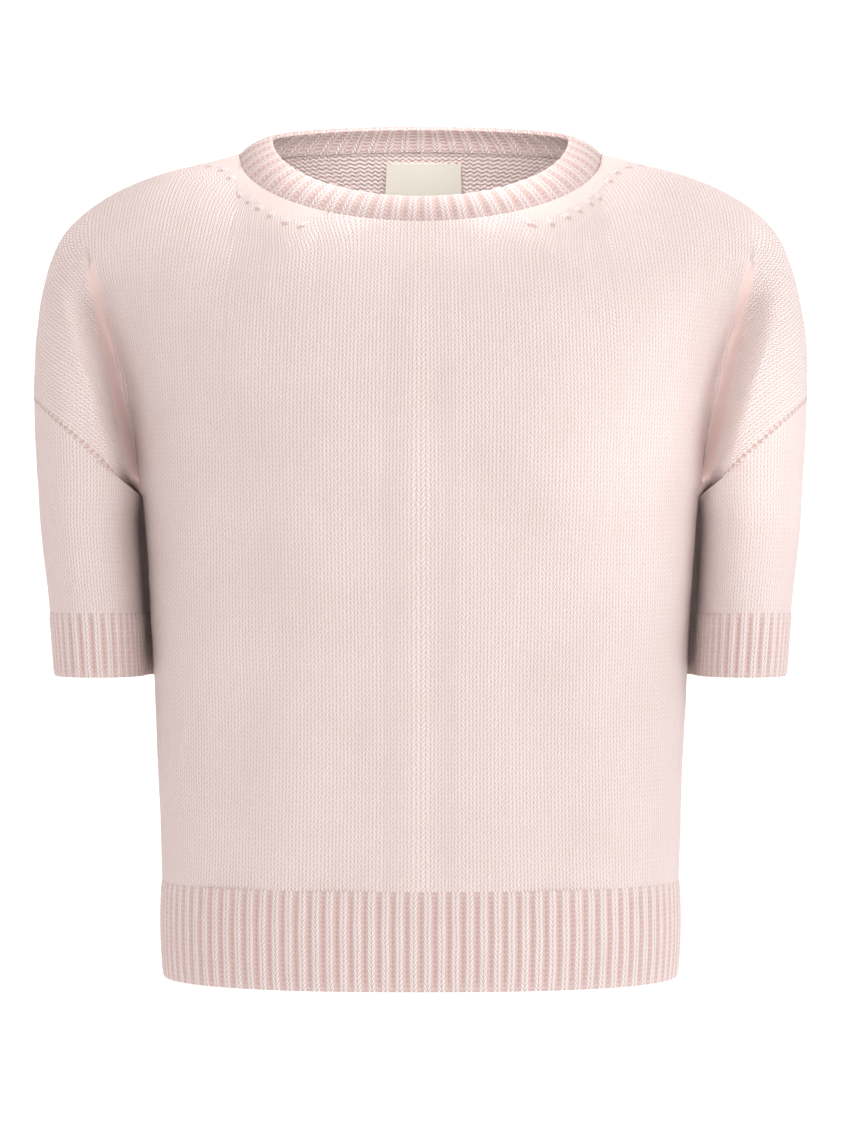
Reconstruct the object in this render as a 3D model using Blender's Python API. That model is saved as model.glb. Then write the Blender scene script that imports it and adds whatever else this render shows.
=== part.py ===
"""A short-sleeved crew-neck sweater, filled out as it is worn, with nothing inside.

Run it with: blender --background --python part.py

Every size below is in millimetres, and MM turns it into Blender's metres. X runs across the sweater, the front faces
-Y and Z is up. The origin lies between the two points where the neck side rests on the wearer's shoulders.

The body and the upper arms are one soft form. Seen from the front it is bounded by the shoulder line, and its depth
in front of and behind the middle plane comes from two rounded shapes, the body and the arm. They flow into one
another over the shoulder and part lower down, which leaves the fold that runs to the underarm. Each panel is a grid
on that form: its columns are the knitted wales, and its edges are the seams.
"""

import math
from collections import namedtuple

import bpy
from mathutils import Vector

MM = 0.001

# Walls and seams.
PANEL_WALL = 2.2  # plain knitting in a soft four-ply yarn
FOLD_WALL = 1.2
RIB_WALL = 2.0  # a rib band at the bottom of its grooves
RIB_RISE = 1.6  # how far a rib stands above its groove
RIB_INSET = 0.96  # how far a groove lies inside the panel that the rib carries on
LABEL_WALL = 0.8
SEAM_GAP = 0.3

# Levels.
MIDDLE_Y = 16.0  # the plane of the side seams and the shoulder seams
UNDERARM_Z = -196.0
HEM_RIB_TOP_Z = -424.5
HEM_Z = -482.0
CUFF_TOP_Z = -265.0
CUFF_Z = -303.0

# The body: how wide and how deep it is at each level, measured from the middle plane.
BodySection = namedtuple("BodySection", "z half_width front_depth back_depth")
BODY = (
    BodySection(40.0, 262.0, 66.0, 46.0),
    BodySection(0.0, 250.0, 74.0, 56.0),
    BodySection(-37.0, 234.0, 84.0, 66.0),
    BodySection(-69.0, 208.0, 98.0, 76.0),
    BodySection(-96.0, 189.0, 108.0, 84.0),
    BodySection(-126.0, 178.0, 116.0, 89.0),
    BodySection(-156.0, 171.0, 121.0, 91.0),
    BodySection(-196.0, 166.5, 122.0, 90.0),
    BodySection(-234.0, 163.0, 120.0, 87.0),
    BodySection(-270.0, 161.0, 117.0, 85.0),
    BodySection(-318.0, 158.5, 113.0, 84.0),
    BodySection(-378.0, 156.0, 111.0, 86.0),
    BodySection(-424.5, 154.5, 111.0, 88.0),
    BodySection(-482.0, 153.5, 112.0, 89.0),
)
BODY_SQUARENESS = 2.4  # 2 is an ellipse, more is squarer
SHOULDER_ROUNDING = 74.0  # how far below the shoulder line the body reaches its full depth
NECK_SLOPE = 1.3  # how that depth is reached: 1 is a straight slope, 2 a round one
SHOULDER_SLOPE = 2.0
SLOPE_CHANGE = (90.0, 165.0)  # how far from the middle the one slope passes into the other
BACK_SLOPE = 2.2

# The outline of the shoulder and of the outer arm, seen from the front.
OutlinePoint = namedtuple("OutlinePoint", "x z")
OUTLINE = (
    OutlinePoint(0.0, 44.0),
    OutlinePoint(60.0, 34.0),
    OutlinePoint(109.0, 9.6),
    OutlinePoint(131.0, 3.6),
    OutlinePoint(148.0, -0.6),
    OutlinePoint(168.0, -7.5),
    OutlinePoint(190.0, -18.5),
    OutlinePoint(205.0, -30.0),
    OutlinePoint(215.0, -42.5),
    OutlinePoint(223.0, -62.0),
    OutlinePoint(228.0, -84.0),
    OutlinePoint(230.5, -108.0),
    OutlinePoint(231.2, -136.0),
    OutlinePoint(231.3, -139.0),
)
SHOULDER_TIP = OUTLINE[-1]  # where the shoulder seam meets the armhole
SEAM_STEPS = 5  # how finely the shoulder seam is measured between two of these points

# The arm: its outer and inner side at each level. Above the underarm the inner side lies inside the body.
ArmSection = namedtuple("ArmSection", "z outer inner half_depth")
ARM = (
    ArmSection(-20.0, 192.0, 96.0, 44.0),
    ArmSection(-69.0, 225.0, 130.0, 56.0),
    ArmSection(-96.0, 229.5, 149.0, 61.0),
    ArmSection(-126.0, 231.0, 159.0, 64.0),
    ArmSection(-156.0, 230.5, 164.5, 65.5),
    ArmSection(-196.0, 228.0, 166.5, 66.0),
    ArmSection(-212.0, 227.0, 168.2, 66.0),
    ArmSection(-234.0, 225.0, 167.4, 65.0),
    ArmSection(-265.0, 221.5, 165.4, 63.5),
    ArmSection(-303.0, 218.5, 163.8, 62.0),
)
ARM_SQUARENESS = 2.3
ARM_FLATNESS = 1.9  # how much deeper the arm is than it is wide
ARM_FADE = (90.0, 170.0)  # how far from the middle the arm's shape begins, and where it is whole

# How softly the body and the arm flow into one another, from the shoulder down to the underarm.
FOLD_SOFTNESS_HIGH = 10.0
FOLD_SOFTNESS_LOW = 5.0
TUCK_SHARE = 0.5  # how much of its depth the arm loses where it passes behind the body's side
TUCK_X = (197.0, 167.0)  # where it does, from the fold's top to the underarm
TUCK_WIDTH = (26.0, 8.0)  # how soon the arm comes forward again there
TUCK_INSIDE = 4.0
TUCK_STARTS = (0.02, 0.3)  # shares of the way down
TUCK_ENDS = (0.7, 1.0)
TUCK_LOSS = 0.6
FOLD_TOP_Z = -50.0
FULL_DEPTH = 60.0  # from this depth on, a soft fold of the cloth has its whole depth

# The neck: the seam that joins the neckband, and the band's free edge.
NECK_HALF_WIDTH = 109.0
NECK_SIDE_Z = 9.6
NECK_FRONT_Z = -37.0
NECK_BACK_Z = 16.0
NECK_FRONT_DEPTH = 80.0  # measured from the middle plane, like the body's depths
NECK_BACK_DEPTH = 42.0
NECK_SQUARENESS = 2.1
NECK_REACH = 0.35  # the share of the way down to the underarm over which the form takes up the neck's shape
BAND_HALF_WIDTH = 89.0
BAND_SIDE_Z = 20.0
BAND_FRONT_Z = -21.5
BAND_BACK_Z = 29.5
BAND_SIDE_FORWARD = 2.0
BAND_FRONT_INSET = 10.0
BAND_BACK_INSET = 10.0

# The ribs, counted round each band.
HEM_RIBS_EACH_HALF = 54
CUFF_RIBS = 45
NECKBAND_RIBS = 56  # two to each stretch of the neck seam between two columns of the panels
NECKBAND_BULGE = 1.2  # how far the band rounds out between its seam and its edge
HEM_RIB_BULGE = 1.2
RIB_CREST_SHARE = 0.5  # how much of a rib's width its flat crest takes

# The grid of a panel, for each half of its width.
NECK_COLUMNS = 7
SHOULDER_COLUMNS = 5
ARM_COLUMNS = 11
NECK_SHARE = 0.46  # the share of a half panel's width that ends at the neck
SHOULDER_SHARE = 0.68  # the share that ends on the shoulder, before the columns that cross the fold
UPPER_ROWS = 14
LOWER_ROWS = 6
SLEEVE_ROWS = 5
FOLD_PASSES = 1  # how often a wall's directions are averaged round the underarm fold

# Soft folds of the cloth, shallow troughs in the panel. Lean is how far the fold's top lies to one side.
Fold = namedtuple("Fold", "x z half_width half_length depth lean")
FRONT_FOLDS = (
    Fold(-118.0, -186.0, 24.0, 62.0, 4.5, -16.0),
    Fold(46.0, -200.0, 30.0, 52.0, 4.5, -26.0),
    Fold(128.0, -178.0, 18.0, 60.0, 2.5, 14.0),
    Fold(-38.0, -330.0, 22.0, 90.0, 3.0, 10.0),
    Fold(-104.0, -345.0, 20.0, 80.0, 3.5, 8.0),
    Fold(70.0, -345.0, 22.0, 85.0, 3.0, -12.0),
    Fold(122.0, -330.0, 15.0, 80.0, 2.0, -6.0),
)
BACK_FOLDS = (
    Fold(-70.0, -215.0, 26.0, 95.0, 4.0, -18.0),
    Fold(64.0, -235.0, 24.0, 105.0, 4.0, 16.0),
    Fold(0.0, -330.0, 24.0, 80.0, 3.0, 6.0),
    Fold(-122.0, -320.0, 18.0, 80.0, 3.0, -8.0),
    Fold(118.0, -330.0, 18.0, 75.0, 3.0, 8.0),
)

# The label inside the back neck.
LABEL_STANDOFF = 0.7
LABEL_LEFT_COLUMNS = 0.99
LABEL_RIGHT_COLUMNS = 0.83
LABEL_TOP_ROWS_DOWN = 0.6
LABEL_BOTTOM_ROWS_DOWN = 2.7

PINK_KNIT = (0.80, 0.66, 0.63)
PINK_RIB = (0.82, 0.68, 0.65)
CREAM_LABEL = (0.81, 0.79, 0.71)


def smooth_value(table, key, value, at):
    """The value column of a table at some place on its key column, on a smooth curve through the rows."""
    keys = [getattr(row, key) for row in table]
    values = [getattr(row, value) for row in table]
    if keys[0] > keys[-1]:
        keys.reverse()
        values.reverse()
    if at <= keys[0]:
        return values[0]
    if at >= keys[-1]:
        return values[-1]
    i = next(n for n in range(len(keys) - 1) if keys[n] <= at <= keys[n + 1])
    slopes = [(values[n + 1] - values[n]) / (keys[n + 1] - keys[n]) for n in range(len(keys) - 1)]

    def tangent(n):
        before = slopes[max(n - 1, 0)]
        after = slopes[min(n, len(slopes) - 1)]
        if before * after <= 0.0:
            return 0.0
        return 2.0 * before * after / (before + after)

    step = keys[i + 1] - keys[i]
    t = (at - keys[i]) / step
    start = (2 * t**3 - 3 * t**2 + 1) * values[i] + (t**3 - 2 * t**2 + t) * step * tangent(i)
    end = (-2 * t**3 + 3 * t**2) * values[i + 1] + (t**3 - t**2) * step * tangent(i + 1)
    return start + end


def mix(a, b, share):
    return a + (b - a) * share


def ease(value, low, high):
    """0 below low, 1 above high, and a smooth rise between them."""
    t = min(max((value - low) / (high - low), 0.0), 1.0)
    return t * t * (3.0 - 2.0 * t)


def round_off(share, squareness):
    """The height of a squared-off quarter circle of radius 1 at a share of the way out."""
    share = min(max(share, 0.0), 1.0)
    return (1.0 - share**squareness) ** (1.0 / squareness)


def arc(angle, squareness):
    """The sideways and forward share of a squared-off circle at an angle from straight ahead."""
    s, c = math.sin(angle), math.cos(angle)
    power = 2.0 / squareness
    across = math.copysign(abs(s) ** power, s) if abs(s) > 1e-9 else 0.0
    ahead = math.copysign(abs(c) ** power, c) if abs(c) > 1e-9 else 0.0
    return across, ahead


def body(value, z):
    return smooth_value(BODY, "z", value, z)


def arm(value, z):
    return smooth_value(ARM, "z", value, z)


def shoulder_z(x):
    return smooth_value(OUTLINE, "x", "z", abs(x))


def outer_x(z):
    if z > SHOULDER_TIP.z:
        return smooth_value(OUTLINE[::-1], "z", "x", z)
    return arm("outer", z)


def below_outline(x, z):
    """How far a point seen from the front lies inside the shoulder's outline, measured square to it."""
    down = max(shoulder_z(x) - z, 0.0)
    inward = max(outer_x(z) - abs(x), 0.0)
    length = math.hypot(down, inward)
    return down * inward / length if length > 0.0 else 0.0


def fold_depth(x, z, folds):
    total = 0.0
    for fold in folds:
        along = (z - fold.z) / fold.half_length
        across = (x - fold.x - fold.lean * along) / fold.half_width
        total += fold.depth * math.exp(-(across**2) - along**2)
    return total


def beside_body(x, z):
    """The share of the arm's depth that is left where it is tucked in behind the body's side."""
    down = (FOLD_TOP_Z - z) / (FOLD_TOP_Z - UNDERARM_Z)
    out = abs(x) - mix(*TUCK_X, down)
    tucked = TUCK_SHARE * ease(down, *TUCK_STARTS) * (1.0 - TUCK_LOSS * ease(down, *TUCK_ENDS))
    return 1.0 - tucked * (1.0 - ease(out, -TUCK_INSIDE, mix(*TUCK_WIDTH, min(max(down, 0.0), 1.0))))


def form_depth(x, z, front):
    """How far the cloth lies in front of the middle plane, or behind it, where it is seen at x and z."""
    inside = below_outline(x, z)
    body_share = round_off(abs(x) / body("half_width", z), BODY_SQUARENESS)
    slope = mix(NECK_SLOPE, SHOULDER_SLOPE, ease(abs(x), *SLOPE_CHANGE)) if front else BACK_SLOPE
    body_share *= round_off(1.0 - inside / SHOULDER_ROUNDING, slope)
    body_depth = body("front_depth" if front else "back_depth", z) * body_share
    radius = (arm("outer", z) - arm("inner", z)) / 2.0
    from_outside = 1.0 - inside / radius
    from_inside = (outer_x(z) - radius - abs(x)) / radius
    arm_depth = arm("half_depth", z) * round_off(max(from_outside, from_inside), ARM_SQUARENESS)
    arm_depth *= ease(abs(x), *ARM_FADE) * beside_body(x, z)
    softness = mix(FOLD_SOFTNESS_LOW, FOLD_SOFTNESS_HIGH, ease(z, UNDERARM_Z, FOLD_TOP_Z))
    softness *= min(1.0, 0.05 + max(body_depth, arm_depth) / 40.0)
    high = max(body_depth, arm_depth)
    low = min(body_depth, arm_depth)
    depth = high + softness * math.log(1.0 + math.exp((low - high) / softness)) if softness > 0.0 else high
    return depth - fold_depth(x, z, FRONT_FOLDS if front else BACK_FOLDS) * min(1.0, depth / FULL_DEPTH)


def place(x, z, depth, front, gap=0.0):
    return Vector((x, MIDDLE_Y - depth - gap if front else MIDDLE_Y + depth + gap, z))


def armhole_point(turn, front):
    """A point of the armhole seam, from the shoulder tip (turn 0) round to the underarm (turn 1)."""
    across, ahead = arc(math.pi / 2 - math.pi * turn, ARM_SQUARENESS)
    share = (1.0 - across) / 2.0
    z = mix(SHOULDER_TIP.z, UNDERARM_Z, share)
    half = (arm("outer", z) - arm("inner", z)) / 2.0
    return Vector((arm("outer", z) - half + half * across, place(0, 0, arm("half_depth", z) * ahead, front).y, z))


def neck_seam_xz(turn, front):
    """The neck seam seen from the front, from the middle (turn 0) to the side (turn 1)."""
    angle = math.pi / 2 * turn
    middle_z = NECK_FRONT_Z if front else NECK_BACK_Z
    rise = math.cos(angle) if front else math.cos(angle) ** 2
    return NECK_HALF_WIDTH * math.sin(angle), mix(NECK_SIDE_Z, middle_z, rise)


def neck_depth(turn, front):
    return (NECK_FRONT_DEPTH if front else NECK_BACK_DEPTH) * arc(math.pi / 2 * turn, NECK_SQUARENESS)[1]


def neck_seam_point(turn, front):
    x, z = neck_seam_xz(turn, front)
    return place(x, z, neck_depth(turn, front), front)


def band_edge_point(turn, front):
    """The free edge of the neckband beside the same point of the seam."""
    angle = math.pi / 2 * turn
    seam = neck_seam_point(0.0, front)
    inset = BAND_FRONT_INSET if front else BAND_BACK_INSET
    middle_y = seam.y + inset if front else seam.y - inset
    middle_z = BAND_FRONT_Z if front else BAND_BACK_Z
    share = (neck_seam_point(turn, front).y - MIDDLE_Y) / (seam.y - MIDDLE_Y)
    y = mix(MIDDLE_Y - BAND_SIDE_FORWARD, middle_y, share)
    return Vector((BAND_HALF_WIDTH * math.sin(angle), y, mix(BAND_SIDE_Z, middle_z, math.cos(angle))))


def shoulder_seam_xz(share):
    """The shoulder seam seen from the front, by its length from the neck (0) to the shoulder tip (1)."""
    points = [(NECK_HALF_WIDTH, NECK_SIDE_Z)]
    for row, after in zip(OUTLINE[2:], OUTLINE[3:]):
        for n in range(1, SEAM_STEPS + 1):
            x = mix(row.x, after.x, n / SEAM_STEPS)
            points.append((x, shoulder_z(x)))
    lengths = [0.0]
    for a, b in zip(points, points[1:]):
        lengths.append(lengths[-1] + math.dist(a, b))
    target = share * lengths[-1]
    i = next((n for n in range(len(lengths) - 2) if target <= lengths[n + 1]), len(lengths) - 2)
    t = (target - lengths[i]) / (lengths[i + 1] - lengths[i])
    return mix(points[i][0], points[i + 1][0], t), mix(points[i][1], points[i + 1][1], t)


def panel_point(u, v, front):
    """A point of a panel. u is 0 at the middle and 1 at the side; v is 0 at the rib, 1 at the underarm, 2 on top."""
    side = math.copysign(1.0, u)
    u = abs(u)
    across, ahead = arc(math.pi / 2 * u, BODY_SQUARENESS)
    gap = SEAM_GAP / 2.0 * ease(u, 0.9, 1.0)
    if v <= 1.0:
        z = mix(HEM_RIB_TOP_Z + SEAM_GAP, UNDERARM_Z, v)
        x = body("half_width", z) * across
        depth = body("front_depth" if front else "back_depth", z) * ahead
        depth -= fold_depth(side * x, z, FRONT_FOLDS if front else BACK_FOLDS) * min(1.0, depth / FULL_DEPTH)
        return place(side * x, z, depth, front, gap)
    if u <= NECK_SHARE:
        top_x, top_z = neck_seam_xz(u / NECK_SHARE, front)
    else:
        top_x, top_z = shoulder_seam_xz((u - NECK_SHARE) / (1.0 - NECK_SHARE))
    down = 2.0 - v
    if u >= 1.0:
        edge = armhole_point(down, front)
        return place(side * edge.x, edge.z, abs(edge.y - MIDDLE_Y), front, gap)
    at_arm = (1.0 - arc(math.pi / 2 - math.pi * down, ARM_SQUARENESS)[0]) / 2.0
    at_body = mix(down, 1.0 - math.cos(math.pi / 2 * down), ease(u, 0.2, NECK_SHARE))
    share = mix(at_body, at_arm, ease(u, 0.7, 1.0))
    low_x = body("half_width", UNDERARM_Z) * across
    x = mix(top_x, low_x, share)
    z = mix(top_z, UNDERARM_Z, share)
    gap = SEAM_GAP / 2.0 * max(ease(u, 0.9, 1.0), ease(v, 1.9, 2.0) * ease(u, NECK_SHARE - 0.05, NECK_SHARE))
    low_depth = body("front_depth" if front else "back_depth", UNDERARM_Z) * ahead
    depth = mix(form_depth(side * x, z, front), low_depth, ease(share, 0.8, 1.0) * ease(u, 0.6, 0.9))
    if u < NECK_SHARE:
        shift = neck_depth(u / NECK_SHARE, front) - form_depth(side * top_x, top_z, front)
        depth += shift * (1.0 - ease(down, 0.0, NECK_REACH))
    elif v >= 2.0:
        depth = 0.0
    return place(side * x, z, depth, front, gap)


def spread(start, end, count):
    return [mix(start, end, n / count) for n in range(count)]


def panel_columns():
    half = spread(0.0, NECK_SHARE, NECK_COLUMNS)
    half += spread(NECK_SHARE, SHOULDER_SHARE, SHOULDER_COLUMNS)
    half += spread(SHOULDER_SHARE, 1.0, ARM_COLUMNS) + [1.0]
    return [-u for u in reversed(half[1:])] + half


def panel_rows():
    return spread(0.0, 1.0, LOWER_ROWS) + spread(1.0, 2.0, UPPER_ROWS) + [2.0]


def panel_wall(u, v):
    """How thick the panel is. The cloth is squeezed a little in the fold that runs to the underarm."""
    squeezed = ease(u, 0.72, 0.82) * (1.0 - ease(u, 0.98, 1.0)) * ease(v, 0.9, 1.0) * (1.0 - ease(v, 1.4, 1.7))
    return mix(PANEL_WALL, FOLD_WALL, squeezed)


def panel_normal(u, v, front):
    """Straight out of a panel's outer surface."""
    step = 0.004
    top = v + step if v > 1.0 and v + step <= 2.0 else v
    bottom = v if 1.0 < v < 1.0 + step else max(v - step, 0.0)
    up = panel_point(u, max(top, bottom + step), front) - panel_point(u, bottom, front)
    right = panel_point(min(u + step, 1.0), v, front) - panel_point(max(u - step, -1.0), v, front)
    normal = right.cross(up)
    return (normal if front else -normal).normalized()


def smoothed(normals, passes):
    """The same directions, each averaged with its neighbours, so that a wall stays even round a tight fold."""
    rows, columns = len(normals), len(normals[0])
    for _ in range(passes):
        result = []
        for r in range(rows):
            line = []
            for c in range(columns):
                near = normals[r][max(c - 1, 0)] + normals[r][min(c + 1, columns - 1)]
                near = near + normals[min(r + 1, rows - 1)][c] + normals[max(r - 1, 0)][c]
                line.append((normals[r][c] * 4.0 + near).normalized())
            result.append(line)
        normals = result
    return normals


def make_object(name, points, faces, colour):
    mesh = bpy.data.meshes.new(name)
    mesh.from_pydata([p * MM for p in points], [], faces)
    mesh.validate()
    mesh.shade_smooth()
    mesh.set_sharp_from_angle(angle=math.radians(40))
    material = bpy.data.materials.new(name)
    material.use_nodes = True
    shader = material.node_tree.nodes["Principled BSDF"]
    shader.inputs["Base Color"].default_value = (*colour, 1.0)
    shader.inputs["Roughness"].default_value = 0.9
    shader.inputs["Metallic"].default_value = 0.0
    mesh.materials.append(material)
    piece = bpy.data.objects.new(name, mesh)
    SWEATER.objects.link(piece)
    return piece


def wall(name, outer, inner, colour, closed=False):
    """A closed wall between an outer grid and an inner one, each a list of rows from the bottom up."""
    points = []
    index = []
    for grid in (outer, inner):
        index.append([])
        for row in grid:
            index[-1].append(range(len(points), len(points) + len(row)))
            points.extend(row)
    out, back = index
    faces = []

    def strips(grid, splits, flip):
        """Two triangles for each cell. The inner wall is split the way the outer one is, so they never cross."""
        for low, high, line in zip(grid, grid[1:], splits):
            for c, split in enumerate(line):
                n = (c + 1) % len(low)
                pair = ((low[c], low[n], high[n]), (low[c], high[n], high[c]))
                if split:
                    pair = ((low[c], low[n], high[c]), (low[n], high[n], high[c]))
                faces.extend(face[::-1] if flip else face for face in pair)

    def split_cells(grid):
        """Which cells are split from lower right to upper left, where that diagonal is the shorter."""
        splits = []
        for low, high in zip(grid, grid[1:]):
            count = len(low) if closed else len(low) - 1
            line = []
            for c in range(count):
                n = (c + 1) % len(low)
                line.append((low[n] - high[c]).length < (low[c] - high[n]).length)
            splits.append(line)
        return splits

    def rim(fine, coarse, flip):
        """Joins the outer edge to the inner one, which may have only every few of its points."""
        ratio = (len(fine) if closed else len(fine) - 1) // (len(coarse) if closed else len(coarse) - 1)
        for c in range(len(coarse) if closed else len(coarse) - 1):
            span = [fine[(c * ratio + n) % len(fine)] for n in range(ratio + 1)]
            ring = span + [coarse[(c + 1) % len(coarse)], coarse[c]]
            faces.append(tuple(ring[::-1] if flip else ring))

    splits = split_cells(outer)
    strips(out, splits, False)
    if len(inner[0]) != len(outer[0]):
        splits = split_cells(inner)
    strips(back, splits, True)
    rim(out[0], back[0], True)
    rim(out[-1], back[-1], False)
    if not closed:
        for r in range(len(out) - 1):
            faces.append((out[r][0], out[r + 1][0], back[r + 1][0], back[r][0]))
            faces.append((out[r + 1][-1], out[r][-1], back[r][-1], back[r + 1][-1]))
    return make_object(name, points, faces, colour)


def neck_chain():
    """The corners of the neck seam from the middle of the back round by the left, each with its band edge and normal.

    The panels and the neckband both use these corners, so their edges stay a seam's gap apart.
    """
    places = []
    for quarter in range(4):
        front = quarter in (1, 2)
        side = -1.0 if quarter < 2 else 1.0
        for n in range(NECK_COLUMNS):
            turn = n / NECK_COLUMNS if quarter in (0, 2) else 1.0 - n / NECK_COLUMNS
            seam = neck_seam_point(turn, front)
            edge = band_edge_point(turn, front)
            seam.x *= side
            edge.x *= side
            places.append((seam, edge))
    chain = []
    for n, (seam, edge) in enumerate(places):
        along = places[(n + 1) % len(places)][0] - places[n - 1][0]
        normal = along.cross(edge - seam)
        if n in (NECK_COLUMNS, 3 * NECK_COLUMNS):
            normal.y = 0.0
        chain.append((seam, edge, normal.normalized()))
    return chain


def neck_corner(turn, side, front):
    """The number of a corner on the neck chain, for a panel's column."""
    from_middle = round(turn * NECK_COLUMNS)
    half = NECK_COLUMNS * 2
    if front:
        return half + from_middle if side > 0 else half - from_middle
    return -from_middle if side > 0 else from_middle


def armhole_normal(turn, side, front):
    """Straight out of the arm at the armhole seam, and a little down into the fold at the underarm."""
    out = sleeve_normal(turn, side, front)
    out.z = -0.4 * ease(turn, 0.7, 1.0)
    return out.normalized()


def sleeve_normal(turn, side, front):
    """Straight out of the arm, all round the sleeve and its cuff."""
    angle = math.pi / 2 - math.pi * turn
    out = Vector((math.sin(angle) * ARM_FLATNESS, math.cos(angle), 0.0)).normalized()
    return Vector((side * out.x, -out.y if front else out.y, 0.0))


def make_panel(name, front):
    columns = panel_columns()
    rows = panel_rows()
    outer = []
    for v in rows:
        line = [panel_point(u, v, front) for u in columns]
        outer.append(line if front else line[::-1])
    order = columns if front else columns[::-1]
    normals = smoothed([[panel_normal(u, v, front) for u in order] for v in rows], FOLD_PASSES)
    for r, v in enumerate(rows):
        for c, u in enumerate(order):
            side = math.copysign(1.0, u)
            if abs(u) >= 1.0:
                normals[r][c] = armhole_normal(2.0 - v, side, front) if v > 1.0 else Vector((side, 0.0, 0.0))
            if v >= 2.0 and abs(u) <= NECK_SHARE:
                normals[r][c] = NECK_CHAIN[neck_corner(abs(u) / NECK_SHARE, side, front)][2]
            elif v >= 2.0 and abs(u) < 1.0:
                x = abs(outer[r][c].x)
                slope = (shoulder_z(x + 2.0) - shoulder_z(x - 2.0)) / 4.0
                normals[r][c] = Vector((-slope * side, 0.0, 1.0)).normalized()
            if abs(u) >= 1.0 and v == 1.0:
                normals[r][c] = Vector((0.0, 0.0, -1.0))
    inner = []
    for v, line, directions in zip(rows, outer, normals):
        inner.append([p - n * panel_wall(abs(u), v) for p, n, u in zip(line, directions, order)])
    wall(name, outer, inner, PINK_KNIT)
    return inner, normals


def sleeve_point(turn, share, side):
    """A point of a sleeve. turn runs from the outside round the front to the underarm at 1 and on round to 2."""
    front = turn <= 1.0
    along = turn if front else 2.0 - turn
    top = armhole_point(along, front)
    z = mix(top.z - SEAM_GAP * mix(1.0, 2.5, ease(along, 0.8, 1.0)), CUFF_TOP_Z + SEAM_GAP, share)
    half = (arm("outer", z) - arm("inner", z)) / 2.0
    across, ahead = arc(math.pi / 2 - math.pi * along, ARM_SQUARENESS)
    x = arm("outer", z) - half + half * across
    away = (1.0 - ease(share, 0.0, 0.3)) * SEAM_GAP * mix(0.6, 2.5, ease(along, 0.7, 1.0))
    depth = arm("half_depth", z) * ahead
    return Vector((side * (x + away), MIDDLE_Y - depth if front else MIDDLE_Y + depth, z))


def make_sleeve(name, side):
    turns = spread(0.0, 2.0, UPPER_ROWS * 2)
    if side > 0:
        turns = [0.0] + turns[:0:-1]
    outer = []
    inner = []
    for n in range(SLEEVE_ROWS + 1):
        share = 1.0 - n / SLEEVE_ROWS
        line = [sleeve_point(turn, share, side) for turn in turns]
        directions = []
        for turn in turns:
            along = turn if turn <= 1.0 else 2.0 - turn
            normal = armhole_normal(along, side, turn <= 1.0)
            if n < SLEEVE_ROWS:
                normal = sleeve_normal(along, side, turn <= 1.0)
            directions.append(normal)
        outer.append(line)
        inner.append([p - d * PANEL_WALL for p, d in zip(line, directions)])
    wall(name, outer, inner, PINK_KNIT, closed=True)


def rib_profile(ribs, closed):
    """The places across a band where the outer surface turns, as shares of the band, with how high each stands."""
    places = []
    for rib in range(ribs):
        places.append((rib / ribs, 0.0))
        places.append(((rib + 0.5 - RIB_CREST_SHARE / 2.0) / ribs, 1.0))
        places.append(((rib + 0.5 + RIB_CREST_SHARE / 2.0) / ribs, 1.0))
    if not closed:
        places.append((1.0, 0.0))
    return places


def ribbed_band(name, ribs, rows, surface, closed):
    """A knitted rib: ridges raised on the outer side over a plain inside. surface gives a point and its outside."""
    profile = rib_profile(ribs, closed)
    outer = []
    inner = []
    for row in range(rows + 1):
        up = row / rows
        outer.append([])
        inner.append([])
        for n, (share, rise) in enumerate(profile):
            point, out = surface(share, up)
            outer[-1].append(point + out * RIB_RISE * rise)
            if n % 3 == 0:
                inner[-1].append(point - out * RIB_WALL)
    wall(name, outer, inner, PINK_RIB, closed)


def hem_surface(front):
    def surface(share, up):
        u = (share * 2.0 - 1.0) * (1.0 if front else -1.0)
        side = math.copysign(1.0, u)
        across, ahead = arc(math.pi / 2 * abs(u), BODY_SQUARENESS)
        z = mix(HEM_Z, HEM_RIB_TOP_Z, up)
        width = body("half_width", z) - RIB_INSET + HEM_RIB_BULGE * math.sin(math.pi * up)
        deep = body("front_depth" if front else "back_depth", z) - RIB_INSET
        gap = SEAM_GAP / 2.0 * ease(abs(u), 0.9, 1.0)
        point = place(side * width * across, z, deep * ahead, front, gap)
        out = Vector((side * across * deep, (-ahead if front else ahead) * width, 0.0)).normalized()
        return point, out

    return surface


def cuff_surface(side):
    def surface(share, up):
        turn = share * 2.0 if side < 0 else 2.0 - share * 2.0
        front = turn <= 1.0
        along = turn if front else 2.0 - turn
        z = mix(CUFF_Z, CUFF_TOP_Z, up)
        half = (arm("outer", z) - arm("inner", z)) / 2.0
        across, ahead = arc(math.pi / 2 - math.pi * along, ARM_SQUARENESS)
        depth = arm("half_depth", z) * ahead
        x = arm("outer", z) - half + (half - RIB_INSET) * across
        out = sleeve_normal(along, side, front)
        point = Vector((side * x, MIDDLE_Y - depth if front else MIDDLE_Y + depth, z))
        point -= out * RIB_INSET * (1.0 - abs(across))
        return point, out

    return surface


def neckband_surface(share, up):
    """From the middle of the back round by the left to the front and back by the right."""
    along = share * len(NECK_CHAIN)
    start = int(along) % len(NECK_CHAIN)
    low_a, high_a, out_a = NECK_CHAIN[start]
    low_b, high_b, out_b = NECK_CHAIN[(start + 1) % len(NECK_CHAIN)]
    t = along - int(along)
    low = low_a.lerp(low_b, t)
    high = high_a.lerp(high_b, t)
    out = out_a.lerp(out_b, t)
    low = low + (high - low).normalized() * SEAM_GAP
    bulge = NECKBAND_BULGE * math.sin(math.pi * up) - RIB_RISE * mix(1.0, 0.6, ease(up, 0.0, 0.5))
    return low.lerp(high, up) + out * bulge, out


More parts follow.
